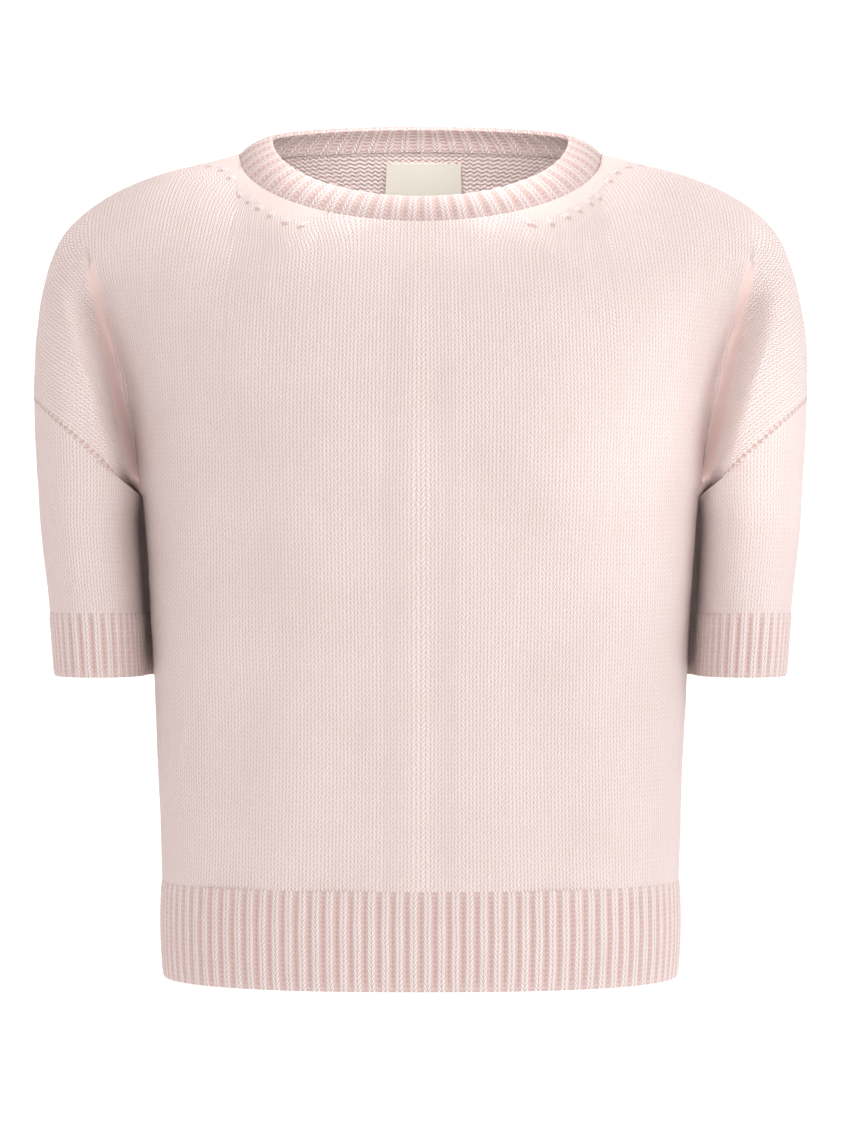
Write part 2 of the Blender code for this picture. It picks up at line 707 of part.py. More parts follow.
def between(grid, row, column):
    """A point of a grid at a row and column that need not be whole."""
    r = min(int(row), len(grid) - 2)
    c = min(int(column), len(grid[0]) - 2)
    low = grid[r][c].lerp(grid[r][c + 1], column - c)
    high = grid[r + 1][c].lerp(grid[r + 1][c + 1], column - c)
    return low.lerp(high, row - r)


def make_label(inner, normals):
    """A woven tab on the inside of the back panel, made from that wall's inner points and moved in."""
    middle = (len(inner[0]) - 1) // 2
    columns = [middle - LABEL_LEFT_COLUMNS, middle, middle + LABEL_RIGHT_COLUMNS]
    top = len(inner) - 1 - LABEL_TOP_ROWS_DOWN
    bottom = len(inner) - 1 - LABEL_BOTTOM_ROWS_DOWN
    rows = [bottom] + [r for r in range(len(inner)) if bottom < r < top] + [top]
    near = []
    far = []
    for row in rows:
        near.append([])
        far.append([])
        for column in columns:
            point = between(inner, row, column)
            inward = -between(normals, row, column).normalized()
            near[-1].append(point + inward * LABEL_STANDOFF)
            far[-1].append(point + inward * (LABEL_STANDOFF + LABEL_WALL))
    wall("label", [line[::-1] for line in far], [line[::-1] for line in near], CREAM_LABEL)


for old in list(bpy.data.objects):
    bpy.data.objects.remove(old)

NECK_CHAIN = neck_chain()
SWEATER = bpy.data.collections.new("Short-sleeved sweater")
bpy.context.scene.collection.children.link(SWEATER)

make_panel("front", True)
back_inside, back_outward = make_panel("back", False)
make_sleeve("left_sleeve", -1.0)
make_sleeve("right_sleeve", 1.0)
ribbed_band("front_hem_rib", HEM_RIBS_EACH_HALF, 2, hem_surface(True), False)
ribbed_band("back_hem_rib", HEM_RIBS_EACH_HALF, 2, hem_surface(False), False)
ribbed_band("left_cuff_rib", CUFF_RIBS, 1, cuff_surface(-1.0), True)
ribbed_band("right_cuff_rib", CUFF_RIBS, 1, cuff_surface(1.0), True)
ribbed_band("neckband", NECKBAND_RIBS, 2, neckband_surface, True)
make_label(back_inside, back_outward)
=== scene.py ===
# %% [markdown]
# # A short-sleeved sweater in pale pink knitting
#
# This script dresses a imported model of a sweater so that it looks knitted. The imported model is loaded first
# and stays where it is. Each plain solid is then replaced by a sheet of cloth of the same form, with its
# stitches.

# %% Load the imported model
import math

import bmesh
import bpy
import numpy as np
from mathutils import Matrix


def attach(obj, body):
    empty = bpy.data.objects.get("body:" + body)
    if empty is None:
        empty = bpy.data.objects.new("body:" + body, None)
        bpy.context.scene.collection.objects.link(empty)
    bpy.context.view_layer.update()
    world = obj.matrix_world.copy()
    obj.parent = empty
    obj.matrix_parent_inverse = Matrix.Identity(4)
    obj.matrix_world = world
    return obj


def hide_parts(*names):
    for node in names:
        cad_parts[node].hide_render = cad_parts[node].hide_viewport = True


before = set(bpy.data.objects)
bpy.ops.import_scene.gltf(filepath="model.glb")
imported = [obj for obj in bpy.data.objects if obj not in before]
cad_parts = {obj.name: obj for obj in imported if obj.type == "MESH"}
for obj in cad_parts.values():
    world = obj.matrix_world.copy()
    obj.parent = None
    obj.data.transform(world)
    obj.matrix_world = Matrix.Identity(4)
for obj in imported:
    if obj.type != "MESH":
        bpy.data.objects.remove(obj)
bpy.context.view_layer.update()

# %% [markdown]
# ## The form
#
# The sweater is filled out as if worn. Such a form could be sculpted, but here it is worked out from sizes,
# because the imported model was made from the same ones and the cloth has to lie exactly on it. All sizes are
# in millimetres. X runs across, the front faces -Y and Z is up. A table gives sizes at a few levels, and a
# smooth curve joins them.

# %% A smooth curve through a table
MM = 0.001


def curve(places, values):
    """A smooth line through some values, as a function of the place."""
    order = np.argsort(places)
    x = np.array(places, dtype=float)[order]
    y = np.array(values, dtype=float)[order]
    slopes = np.diff(y) / np.diff(x)
    before = np.concatenate((slopes[:1], slopes))
    after = np.concatenate((slopes, slopes[-1:]))
    product = before * after
    total = np.where(before + after == 0.0, 1.0, before + after)
    tangents = np.where(product > 0.0, 2.0 * product / total, 0.0)

    def at(place):
        place = np.clip(place, x[0], x[-1])
        i = np.clip(np.searchsorted(x, place, side="right") - 1, 0, len(x) - 2)
        step = x[i + 1] - x[i]
        t = (place - x[i]) / step
        start = (2 * t**3 - 3 * t**2 + 1) * y[i] + (t**3 - 2 * t**2 + t) * step * tangents[i]
        return start + (-2 * t**3 + 3 * t**2) * y[i + 1] + (t**3 - t**2) * step * tangents[i + 1]

    return at


# %% The body: level, half width, depth in front and depth behind
BODY_LEVELS = (
    (40.0, 262.0, 66.0, 46.0),
    (0.0, 250.0, 74.0, 56.0),
    (-37.0, 234.0, 84.0, 66.0),
    (-69.0, 208.0, 98.0, 76.0),
    (-96.0, 189.0, 108.0, 84.0),
    (-126.0, 178.0, 116.0, 89.0),
    (-156.0, 171.0, 121.0, 91.0),
    (-196.0, 166.5, 122.0, 90.0),
    (-234.0, 163.0, 120.0, 87.0),
    (-270.0, 161.0, 117.0, 85.0),
    (-318.0, 158.5, 113.0, 84.0),
    (-378.0, 156.0, 111.0, 86.0),
    (-424.5, 154.5, 111.0, 88.0),
    (-482.0, 153.5, 112.0, 89.0),
)
level, half_width, front_depth, back_depth = zip(*BODY_LEVELS)
body_half_width = curve(level, half_width)
body_depth = {"front": curve(level, front_depth), "back": curve(level, back_depth)}
MIDDLE_Y = 16.0
UNDERARM_Z = -196.0
HEM_RIB_TOP_Z = -424.5
HEM_Z = -482.0
BODY_SQUARENESS = 2.4
print("body, widest:", 2 * max(half_width), "mm, deepest:", max(front_depth) + max(back_depth), "mm")

# %% The arm: level, outer side, inner side and half depth
ARM_LEVELS = (
    (-20.0, 192.0, 96.0, 44.0),
    (-69.0, 225.0, 130.0, 56.0),
    (-96.0, 229.5, 149.0, 61.0),
    (-126.0, 231.0, 159.0, 64.0),
    (-156.0, 230.5, 164.5, 65.5),
    (-196.0, 228.0, 166.5, 66.0),
    (-212.0, 227.0, 168.2, 66.0),
    (-234.0, 225.0, 167.4, 65.0),
    (-265.0, 221.5, 165.4, 63.5),
    (-303.0, 218.5, 163.8, 62.0),
)
level, outer_side, inner_side, half_depth = zip(*ARM_LEVELS)
arm_outer = curve(level, outer_side)
arm_inner = curve(level, inner_side)
arm_half_depth = curve(level, half_depth)
ARM_SQUARENESS = 2.3
ARM_FADE = (90.0, 170.0)
CUFF_TOP_Z = -265.0
CUFF_Z = -303.0
print("cuffs end", -CUFF_Z, "mm below the neck")

# %% The outline of the shoulder, seen from the front
OUTLINE = (
    (0.0, 44.0),
    (60.0, 34.0),
    (109.0, 9.6),
    (131.0, 3.6),
    (148.0, -0.6),
    (168.0, -7.5),
    (190.0, -18.5),
    (205.0, -30.0),
    (215.0, -42.5),
    (223.0, -62.0),
    (228.0, -84.0),
    (230.5, -108.0),
    (231.2, -136.0),
    (231.3, -139.0),
)
outline_x, outline_z = zip(*OUTLINE)
shoulder_z = curve(outline_x, outline_z)
outline_x_at = curve(outline_z, outline_x)
TIP_Z = -139.0
SHOULDER_ROUNDING = 74.0
NECK_SLOPE = 1.3
SHOULDER_SLOPE = 2.0
SLOPE_CHANGE = (90.0, 165.0)
BACK_SLOPE = 2.2
print("shoulder tip:", OUTLINE[-1])

# %% [markdown]
# Body and arm are two rounded shapes that flow into one another over the shoulder and part towards the
# underarm. The deeper of the two shows, with a soft fold between them. The soft folds of the cloth are
# shallow troughs in it, placed from the photograph in front, and alike but different behind.

# %% Small helpers for blending and rounding


def mix(a, b, share):
    """From a at share 0 to b at share 1."""
    return a + (b - a) * share


def ease(value, low, high):
    """0 below low, 1 above high, and a smooth rise between them."""
    t = np.clip((value - low) / (high - low), 0.0, 1.0)
    return t * t * (3.0 - 2.0 * t)


def round_off(share, squareness):
    """The height of a squared-off quarter circle of radius 1 at a share of the way out."""
    return (1.0 - np.clip(share, 0.0, 1.0) ** squareness) ** (1.0 / squareness)


def arc(angle, squareness):
    """The sideways and forward share of a squared-off circle at an angle from straight ahead."""
    s, c = np.sin(angle), np.cos(angle)
    power = 2.0 / squareness
    return np.sign(s) * np.abs(s) ** power, np.sign(c) * np.abs(c) ** power


# %% Soft folds: place across, level, half width, half length, depth and lean
FOLDS = {
    "front": (
        (-118.0, -186.0, 24.0, 62.0, 4.5, -16.0),
        (46.0, -200.0, 30.0, 52.0, 4.5, -26.0),
        (128.0, -178.0, 18.0, 60.0, 2.5, 14.0),
        (-38.0, -330.0, 22.0, 90.0, 3.0, 10.0),
        (-104.0, -345.0, 20.0, 80.0, 3.5, 8.0),
        (70.0, -345.0, 22.0, 85.0, 3.0, -12.0),
        (122.0, -330.0, 15.0, 80.0, 2.0, -6.0),
    ),
    "back": (
        (-70.0, -215.0, 26.0, 95.0, 4.0, -18.0),
        (64.0, -235.0, 24.0, 105.0, 4.0, 16.0),
        (0.0, -330.0, 24.0, 80.0, 3.0, 6.0),
        (-122.0, -320.0, 18.0, 80.0, 3.0, -8.0),
        (118.0, -330.0, 18.0, 75.0, 3.0, 8.0),
    ),
}


def fold_depth(x, z, half):
    """How much all the soft folds take away at a place."""
    total = 0.0
    for place_x, place_z, width, length, depth, lean in FOLDS[half]:
        along = (z - place_z) / length
        across = (x - place_x - lean * along) / width
        total = total + depth * np.exp(-(across**2) - along**2)
    return total


print("folds:", {half: len(rows) for half, rows in FOLDS.items()})

# %% How deep the form is in front of the middle, or behind it
FULL_DEPTH = 60.0  # where the form is less deep than this, its soft folds are shallower too
FOLD_SOFTNESS = (5.0, 10.0)
SOFT_DEPTH = 40.0
LEAST_SOFTNESS = 0.05
FOLD_TOP_Z = -50.0
TUCK_SHARE = 0.5
TUCK_X = (197.0, 167.0)
TUCK_WIDTH = (26.0, 8.0)
TUCK_INSIDE = 4.0
TUCK_STARTS = (0.02, 0.3)
TUCK_ENDS = (0.7, 1.0)
TUCK_LOSS = 0.6


def beside_body(x, z):
    """The share of the arm's depth that is left where it is tucked in behind the body's side."""
    down = (FOLD_TOP_Z - z) / (FOLD_TOP_Z - UNDERARM_Z)
    out = np.abs(x) - mix(*TUCK_X, down)
    tucked = TUCK_SHARE * ease(down, *TUCK_STARTS) * (1.0 - TUCK_LOSS * ease(down, *TUCK_ENDS))
    width = mix(*TUCK_WIDTH, np.clip(down, 0.0, 1.0)) + TUCK_INSIDE
    return 1.0 - tucked * (1.0 - ease((out + TUCK_INSIDE) / width, 0.0, 1.0))


def form_depth(x, z, half):
    """How far the form reaches from its middle plane, in front or behind."""
    down = np.maximum(shoulder_z(np.abs(x)) - z, 0.0)
    outer = np.where(z > TIP_Z, outline_x_at(z), arm_outer(z))
    inward = np.maximum(outer - np.abs(x), 0.0)
    length = np.hypot(down, inward)
    inside = down * inward / np.where(length > 0.0, length, 1.0)
    body = round_off(np.abs(x) / body_half_width(z), BODY_SQUARENESS)
    slope = mix(NECK_SLOPE, SHOULDER_SLOPE, ease(np.abs(x), *SLOPE_CHANGE)) if half == "front" else BACK_SLOPE
    body = body * round_off(1.0 - inside / SHOULDER_ROUNDING, slope) * body_depth[half](z)
    radius = (arm_outer(z) - arm_inner(z)) / 2.0
    nearer = np.maximum(1.0 - inside / radius, (outer - radius - np.abs(x)) / radius)
    arm = arm_half_depth(z) * round_off(nearer, ARM_SQUARENESS)
    arm = arm * ease(np.abs(x), *ARM_FADE) * beside_body(x, z)
    high, low = np.maximum(body, arm), np.minimum(body, arm)
    softness = mix(*FOLD_SOFTNESS, ease(z, UNDERARM_Z, FOLD_TOP_Z))
    softness = softness * np.minimum(1.0, LEAST_SOFTNESS + high / SOFT_DEPTH)
    depth = high + softness * np.log1p(np.exp((low - high) / softness))
    return depth - fold_depth(x, z, half) * np.minimum(1.0, depth / FULL_DEPTH)


print("depth at the middle of the chest:", round(float(form_depth(0.0, -150.0, "front")), 1), "mm")

# %% [markdown]
# ## The seams
#
# The front and the back meet the sleeves along the armholes, meet each other along the shoulders and the
# sides, and meet the neckband round the neck. Each seam is a curve that both its neighbours share.

# %% Armhole, neck and shoulder seams
NECK_HALF_WIDTH = 109.0
NECK_SIDE_Z = 9.6
NECK_MIDDLE_Z = {"front": -37.0, "back": 16.0}
NECK_DEPTH = {"front": 80.0, "back": 42.0}
NECK_SQUARENESS = 2.1
NECK_REACH = 0.35
NECK_SHARE = 0.46  # how much of a panel's top edge lies at the neck
EVEN_COLUMNS = 0.8  # how evenly the columns are spread across the neck, seen from the front


def toward(half, depth):
    """The Y of a point that lies some way in front of the middle or behind it."""
    return MIDDLE_Y - depth if half == "front" else MIDDLE_Y + depth


def armhole(turn):
    """Across, level and depth of the armhole from the shoulder tip (0) round to the underarm (1)."""
    across, ahead = arc(math.pi / 2 - math.pi * turn, ARM_SQUARENESS)
    z = mix(TIP_Z, UNDERARM_Z, (1.0 - across) / 2.0)
    radius = (arm_outer(z) - arm_inner(z)) / 2.0
    return arm_outer(z) - radius + radius * across, z, arm_half_depth(z) * ahead


def neck_seam(turn, half):
    """Across, level and depth of the neck seam from the middle (0) to the side (1)."""
    angle = math.pi / 2 * turn
    rise = np.cos(angle) ** (1 if half == "front" else 2)
    depth = NECK_DEPTH[half] * arc(angle, NECK_SQUARENESS)[1]
    return NECK_HALF_WIDTH * np.sin(angle), mix(NECK_SIDE_Z, NECK_MIDDLE_Z[half], rise), depth


AT_NECK = 2  # the row of the outline where the neck ends and the shoulder seam starts
stretches = zip(outline_x[AT_NECK:], outline_x[AT_NECK + 1 :])
fine_x = np.concatenate([np.linspace(a, b, 6)[:-1] for a, b in stretches] + [outline_x[-1:]])
fine_z = shoulder_z(fine_x)
shoulder_run = np.concatenate(([0.0], np.cumsum(np.hypot(np.diff(fine_x), np.diff(fine_z)))))
SHOULDER_LENGTH = shoulder_run[-1]


def shoulder_seam(share):
    """Across and level of the shoulder seam, by its length from the neck (0) to its tip (1)."""
    place = share * SHOULDER_LENGTH
    return np.interp(place, shoulder_run, fine_x), np.interp(place, shoulder_run, fine_z)


print("shoulder seam:", round(float(SHOULDER_LENGTH)), "mm")

# %% The form of a whole panel
BODY_COLUMNS = (0.2, NECK_SHARE)
ARM_COLUMNS = (0.7, 1.0)
UNDERARM_ROWS = (0.8, 1.0)
UNDERARM_COLUMNS = (0.6, 0.9)


def panel_points(u, v, half):
    """Points of a panel. u is -1 to 1 from side to side. v is 0 at the rib, 1 at the underarm and 2 on top."""
    side, u = np.where(u < 0.0, -1.0, 1.0), np.abs(u)
    across, ahead = arc(math.pi / 2 * u, BODY_SQUARENESS)
    z = mix(HEM_RIB_TOP_Z, UNDERARM_Z, v)
    x = body_half_width(z) * across
    depth = body_depth[half](z) * ahead
    depth = depth - fold_depth(side * x, z, half) * np.minimum(1.0, depth / FULL_DEPTH)
    low = np.stack((side * x, toward(half, depth), z), axis=-1)

    down = np.clip(2.0 - v, 0.0, 1.0)
    straight = np.clip(u / NECK_SHARE, 0.0, 1.0)
    turn = mix(straight, np.arcsin(straight) / (math.pi / 2), EVEN_COLUMNS)
    neck_x, neck_z, neck_depth = neck_seam(turn, half)
    seam_x, seam_z = shoulder_seam(np.clip((u - NECK_SHARE) / (1.0 - NECK_SHARE), 0.0, 1.0))
    at_neck = u < NECK_SHARE
    top_x, top_z = np.where(at_neck, neck_x, seam_x), np.where(at_neck, neck_z, seam_z)
    at_arm = (1.0 - arc(math.pi / 2 - math.pi * down, ARM_SQUARENESS)[0]) / 2.0
    at_body = mix(down, 1.0 - np.cos(math.pi / 2 * down), ease(u, *BODY_COLUMNS))
    share = mix(at_body, at_arm, ease(u, *ARM_COLUMNS))
    x = mix(top_x, body_half_width(UNDERARM_Z) * across, share)
    z = mix(top_z, UNDERARM_Z, share)
    underarm_depth = body_depth[half](UNDERARM_Z) * ahead
    at_underarm = ease(share, *UNDERARM_ROWS) * ease(u, *UNDERARM_COLUMNS)
    depth = mix(form_depth(side * x, z, half), underarm_depth, at_underarm)
    reach = NECK_REACH * neck_depth / NECK_DEPTH[half] + 0.01
    shift = (neck_depth - form_depth(side * top_x, top_z, half)) * (1.0 - ease(down / reach, 0.0, 1.0))
    depth = np.where(at_neck, depth + shift, np.where(v >= 2.0, 0.0, depth))
    edge_x, edge_z, edge_depth = armhole(down)
    on_edge = u >= 1.0
    x, z = np.where(on_edge, edge_x, x), np.where(on_edge, edge_z, z)
    depth = np.where(on_edge, edge_depth, depth)
    high = np.stack((side * x, toward(half, depth), z), axis=-1)
    return np.where((v <= 1.0)[..., None], low, high)


# %% [markdown]
# ## Cloth as a thin shell
#
# Knitting is a sheet about 2 mm thick. A plane could be pushed into shape with a Solidify modifier, but a
# worn sweater turns and folds too much for that to stay even. Instead each piece is a grid of points, and a
# second grid lies one thickness inside it. The stitches need to know where they are, so each point also
# carries how many wales (columns of stitches) and courses (rows of stitches) it lies from the start. That is
# the piece's first UV map.

# %% Measuring along a grid


def lengths_along(grid, axis):
    """How far each point of a grid or a line lies from its start, along the axis."""
    steps = np.linalg.norm(np.diff(grid, axis=axis), axis=-1)
    start = np.zeros_like(np.take(steps, [0], axis=axis))
    return np.concatenate((start, np.cumsum(steps, axis=axis)), axis=axis)


def filled_in(places, run, line):
    """The values at some places of a line that is known at other places of its run."""
    return np.stack([np.interp(places, run, values) for values in line.T], axis=1)


def grid_normals(grid, closed):
    """Straight out of a grid whose columns run to the right and whose rows run upwards, seen from outside."""
    if closed:
        wide = np.concatenate((grid[:, -2:-1], grid, grid[:, 1:2]), axis=1)
        right = (wide[:, 2:] - wide[:, :-2]) / 2.0
    else:
        right = np.gradient(grid, axis=1)
    normals = np.cross(right, np.gradient(grid, axis=0))
    return normals / np.maximum(np.linalg.norm(normals, axis=-1, keepdims=True), 1e-9)


def area_of(grid):
    """The area of a grid in square metres."""
    right = np.diff(grid, axis=1)[:-1]
    up = np.diff(grid, axis=0)[:, :-1]
    return float(np.linalg.norm(np.cross(right, up), axis=-1).sum()) * MM * MM


# %% Making a shell
RIM_ANGLE = 60.0


def shell(name, outer, normals, thickness, maps, materials, closed=False, inside_shift=0.0):
    """A closed sheet from an outer grid, with its UV maps by name. Its inside has the last material."""
    inner = outer - normals * np.broadcast_to(thickness, outer.shape[:2])[..., None]
    rows, columns = outer.shape[:2]
    number = np.arange(rows * columns).reshape(rows, columns)
    inside = number + rows * columns

    def quads(a, b, c, d):
        return np.stack([part.reshape(-1) for part in (a, b, c, d)], axis=1)

    faces = [
        quads(number[:-1, :-1], number[:-1, 1:], number[1:, 1:], number[1:, :-1]),
        quads(inside[:-1, :-1], inside[1:, :-1], inside[1:, 1:], inside[:-1, 1:]),
        quads(number[0, :-1], inside[0, :-1], inside[0, 1:], number[0, 1:]),
        quads(number[-1, :-1], number[-1, 1:], inside[-1, 1:], inside[-1, :-1]),
    ]
    if not closed:
        faces.append(quads(number[:-1, 0], number[1:, 0], inside[1:, 0], inside[:-1, 0]))
        faces.append(quads(number[:-1, -1], inside[:-1, -1], inside[1:, -1], number[1:, -1]))
    points = np.concatenate((outer.reshape(-1, 3), inner.reshape(-1, 3))) * MM
    all_faces = np.concatenate(faces)
    outside_count, inside_count = len(faces[0]), len(faces[1])
    mesh = bpy.data.meshes.new(name)
    mesh.from_pydata(points.tolist(), [], all_faces.tolist())
    for map_name, uv in maps.items():
        layer = mesh.uv_layers.new(name=map_name)
        places = np.concatenate((uv.reshape(-1, 2), uv.reshape(-1, 2) + (inside_shift, 0.0)))
        layer.data.foreach_set("uv", places[all_faces.reshape(-1)].reshape(-1))
    slots = np.zeros(len(all_faces), dtype=np.int32)
    slots[outside_count : outside_count + inside_count] = len(materials) - 1
    for material in materials:
        mesh.materials.append(material)
    mesh.polygons.foreach_set("material_index", slots)
    if closed:
        work = bmesh.new()
        work.from_mesh(mesh)
        bmesh.ops.remove_doubles(work, verts=work.verts, dist=1e-6)
        work.to_mesh(mesh)
        work.free()
    mesh.shade_smooth()
    mesh.set_sharp_from_angle(angle=math.radians(RIM_ANGLE))
    piece = bpy.data.objects.new(name, mesh)
    bpy.context.scene.collection.objects.link(piece)
    print(name, "faces:", len(mesh.polygons), "area:", round(area_of(outer), 4), "m2")
    return piece


# %% [markdown]
# ## Colours and yarn
#
# The yarn is a soft, slightly brushed cashmere and wool in pale pink. Its colours are given as they are seen
# on a screen (sRGB hex), and one function turns them into the linear values that the shader works with.

# %% Colours and one function that adds a node


def linear(hex_colour):
    """A colour such as #E8D6D2 as the shader wants it."""
    parts = [int(hex_colour[n : n + 2], 16) / 255.0 for n in (1, 3, 5)]
    return (*[p / 12.92 if p <= 0.04045 else ((p + 0.055) / 1.055) ** 2.4 for p in parts], 1.0)


def add(tree, kind, inputs=(), output=0, **settings):
    """Adds a shader node and returns an output. Inputs are values or sockets, in order or by name."""
    node = tree.nodes.new("ShaderNode" + kind)
    for name, value in settings.items():
        setattr(node, name, value)
    for name, value in inputs.items() if isinstance(inputs, dict) else enumerate(inputs):
        if isinstance(value, bpy.types.NodeSocket):
            tree.links.new(value, node.inputs[name])
        else:
            node.inputs[name].default_value = value
    return node.outputs[output]


def new_material(name):
    """An empty material and its node tree."""
    material = bpy.data.materials.new(name)
    material.use_nodes = True
    material.node_tree.nodes.clear()
    return material, material.node_tree


def show(tree, shader):
    """Links a shader to the output of its material."""
    tree.links.new(shader, tree.nodes.new("ShaderNodeOutputMaterial").inputs["Surface"])


YARN_SHEEN = linear("#F6E6E2")
YARN_LIGHT = linear("#EEE1DF")
# Painted shade: the groove colours are what the yarn darkens to where the stitches dip; random rosier patches
# lean towards them too.
YARN_GROOVE_SHADE_AND_ROSY_PATCHES = linear("#D3B5AE")
# Painted shade: the purl colour is the yarn darkened for the sunk columns of the rib.
YARN_PURL_SHADE = linear("#DCC8C4")
YARN_RIB_GROOVE_SHADE_AND_ROSY_PATCHES = linear("#C6A9A4")
# Painted shade: the strip colour is the yarn darkened for the smooth strip at the neck.
YARN_STRIP_SHADE = linear("#DACBC8")
# Painted shade: the neckband colours are a darker copy of the same yarn, for the band that faces up.
YARN_NECKBAND_SHADED = linear("#DACAC7")
YARN_NECK_PURL_SHADED = linear("#CFBCB8")
YARN_NECK_GROOVE_SHADE_AND_ROSY_PATCHES = linear("#B89E99")
LABEL_CREAM = linear("#EAE8DC")
LABEL_SHADE = linear("#E4E0D2")
print("yarn:", [round(value, 3) for value in YARN_LIGHT])

# %% [markdown]
# ## One knitted stitch
#
# Stocking stitch is made of small Vs that stand on one another in columns. Each V has two legs of yarn that
# rise from the middle of the wale to its edges. In the shader, PINGPONG folds the wale number into a distance
# from the middle of the V, and slanting the course number by that distance gives the legs their lean. The
# result is a height from 0 in the grooves to 1 on top of a leg, which drives the bump and the colour alike:
# the colour is painted darker towards the grooves, as shade.

# %% The V stitch as a height
WALE = 4.25
COURSE = 2.8
LEG_LEAN = 1.35
YARN_RELIEF = 0.6
LEG_SHARPNESS = 2.6  # how steeply a leg of yarn falls off at both its sides
LEG_FULLNESS = 0.6  # under 1 makes the legs rounder
CLOUD_SCALE = 26.0  # patches of a rosier tone to a metre
FUZZ_SCALE = 900.0  # hairs that stand out of the yarn to a metre
FUZZ_SHADE = 0.35
FUZZ_RELIEF = 0.22
NEAR = 20.0  # how near to a seam its map begins, in millimetres
# A negative height sinks the bump and paints shade, since the colour follows the height: the second row is a
# painted shadow beside the crossed stitches, and the last paints shade into the pits.
SPOTS = (  # seam, spacing, nearness, size and height: crossed stitches at the neck and pits along the armhole
    ("neckline", 11.0, 18.5, 3.4, 0.7),
    ("neckline", 11.0, 15.0, 3.0, -1.0),
    ("armhole", WALE, 17.6, 2.2, -1.1),
)


def v_stitch(tree, spread, course):
    """The height of the yarn. Spread is 0 in the middle of the V and 1 at the edge of the wale."""
    lean = add(tree, "Math", (spread, -LEG_LEAN, course), operation="MULTIPLY_ADD")
    fold = add(tree, "Math", (lean, 0.5), operation="PINGPONG")
    near = add(tree, "Math", (fold, -2.0, 1.0), operation="MULTIPLY_ADD")
    round_leg = add(tree, "Math", (near, 2.0), operation="POWER")
    round_leg = add(tree, "Math", (round_leg, -1.0, 1.0), operation="MULTIPLY_ADD")
    off_leg = add(tree, "Math", (spread, 2.0, -1.0), operation="MULTIPLY_ADD")
    off_leg = add(tree, "Math", (off_leg,), operation="ABSOLUTE")
    edge = add(tree, "Math", (off_leg, LEG_SHARPNESS), operation="POWER")
    edge = add(tree, "Math", (edge, -1.0, 1.0), operation="MULTIPLY_ADD")
    both = add(tree, "Math", (round_leg, edge), operation="MULTIPLY")
    return add(tree, "Math", (both, LEG_FULLNESS), operation="POWER")


def wool(tree, height, rosy, light=YARN_LIGHT, groove_shade_and_rosy_patches=YARN_GROOVE_SHADE_AND_ROSY_PATCHES):
    """Turns a height from 0 to 1 into soft brushed yarn: its colour, painted darker as shade where the height
    is low and rosier in random patches, its bump and its sheen.
    """
    place = add(tree, "TexCoord", output="Object")
    cloud = add(tree, "TexNoise", {"Vector": place, "Scale": CLOUD_SCALE, "Detail": 3.0})
    fuzz = add(tree, "TexNoise", {"Vector": place, "Scale": FUZZ_SCALE, "Detail": 2.0, "Roughness": 0.7})
    shade = add(tree, "Math", (fuzz, FUZZ_SHADE, height), operation="MULTIPLY_ADD")
    shade = add(tree, "MapRange", (shade, 0.15, 1.1, 0.0, 1.0))
    # Painted shade: the colour darkens towards the groove colour where the height is low.
    colour = add(tree, "Mix", {0: shade, 6: groove_shade_and_rosy_patches, 7: light}, output=2, data_type="RGBA")
    patch = add(tree, "MapRange", (cloud, 0.35, 0.65, 0.0, rosy))
    # Random rosier patches of tone lean towards the same colour.
    colour = add(tree, "Mix", {0: patch, 6: colour, 7: groove_shade_and_rosy_patches}, output=2, data_type="RGBA")
    relief = add(tree, "Math", (fuzz, FUZZ_RELIEF, height), operation="MULTIPLY_ADD")
    bump = add(tree, "Bump", {"Strength": 1.0, "Distance": YARN_RELIEF * MM, "Height": relief})
    look = {"Base Color": colour, "Roughness": 0.92, "IOR": 1.45, "Specular IOR Level": 0.2, "Normal": bump}
    sheen = {"Sheen Weight": 0.35, "Sheen Roughness": 0.5, "Sheen Tint": YARN_SHEEN}
    show(tree, add(tree, "BsdfPrincipled", {**look, **sheen}))


# %% Stocking stitch, right side: the Vs of the front, back and sleeves
stocking, tree = new_material("Brushed cashmere, stocking stitch")
numbers = add(tree, "UVMap", output="UV", uv_map="stitches")
wobble = add(tree, "TexNoise", {"Vector": numbers, "Scale": 0.8, "Detail": 1.0}, output="Color")
loose = add(tree, "VectorMath", (wobble, (0.5, 0.5, 0.5)), operation="SUBTRACT")
loose = add(tree, "VectorMath", {0: loose, "Scale": 0.22}, operation="SCALE")
numbers = add(tree, "VectorMath", (numbers, loose), operation="ADD")
wale, course = (add(tree, "SeparateXYZ", (numbers,), output=axis) for axis in "XY")
spread = add(tree, "Math", (wale, 0.5), operation="PINGPONG")
spread = add(tree, "Math", (spread, 2.0), operation="MULTIPLY")
height = v_stitch(tree, spread, course)

for seam, spacing, near, size, amount in SPOTS:
    place = add(tree, "UVMap", output="UV", uv_map=seam)
    along, nearness = (add(tree, "SeparateXYZ", (place,), output=axis) for axis in "XY")
    off = add(tree, "Math", (along, spacing / 2.0), operation="PINGPONG")
    across = add(tree, "Math", (nearness, -near), operation="ADD")
    across = add(tree, "Math", (across,), operation="ABSOLUTE")
    off = add(tree, "Math", (off, across), operation="ADD")
    spot = add(tree, "MapRange", (off, 0.35 * size, size, 1.0, 0.0))
    height = add(tree, "Math", (spot, amount, height), operation="MULTIPLY_ADD")
# Painted shade on the smooth strip round the neck: a flat height and the darker strip colour stand in for the
# shade of the stitches it lacks.
STRIP_SHADE_HEIGHT = 0.42
STRIP_EDGE = 2.0
STRIP_SHARE = 0.75  # how much of the stitches is smoothed away in the strip
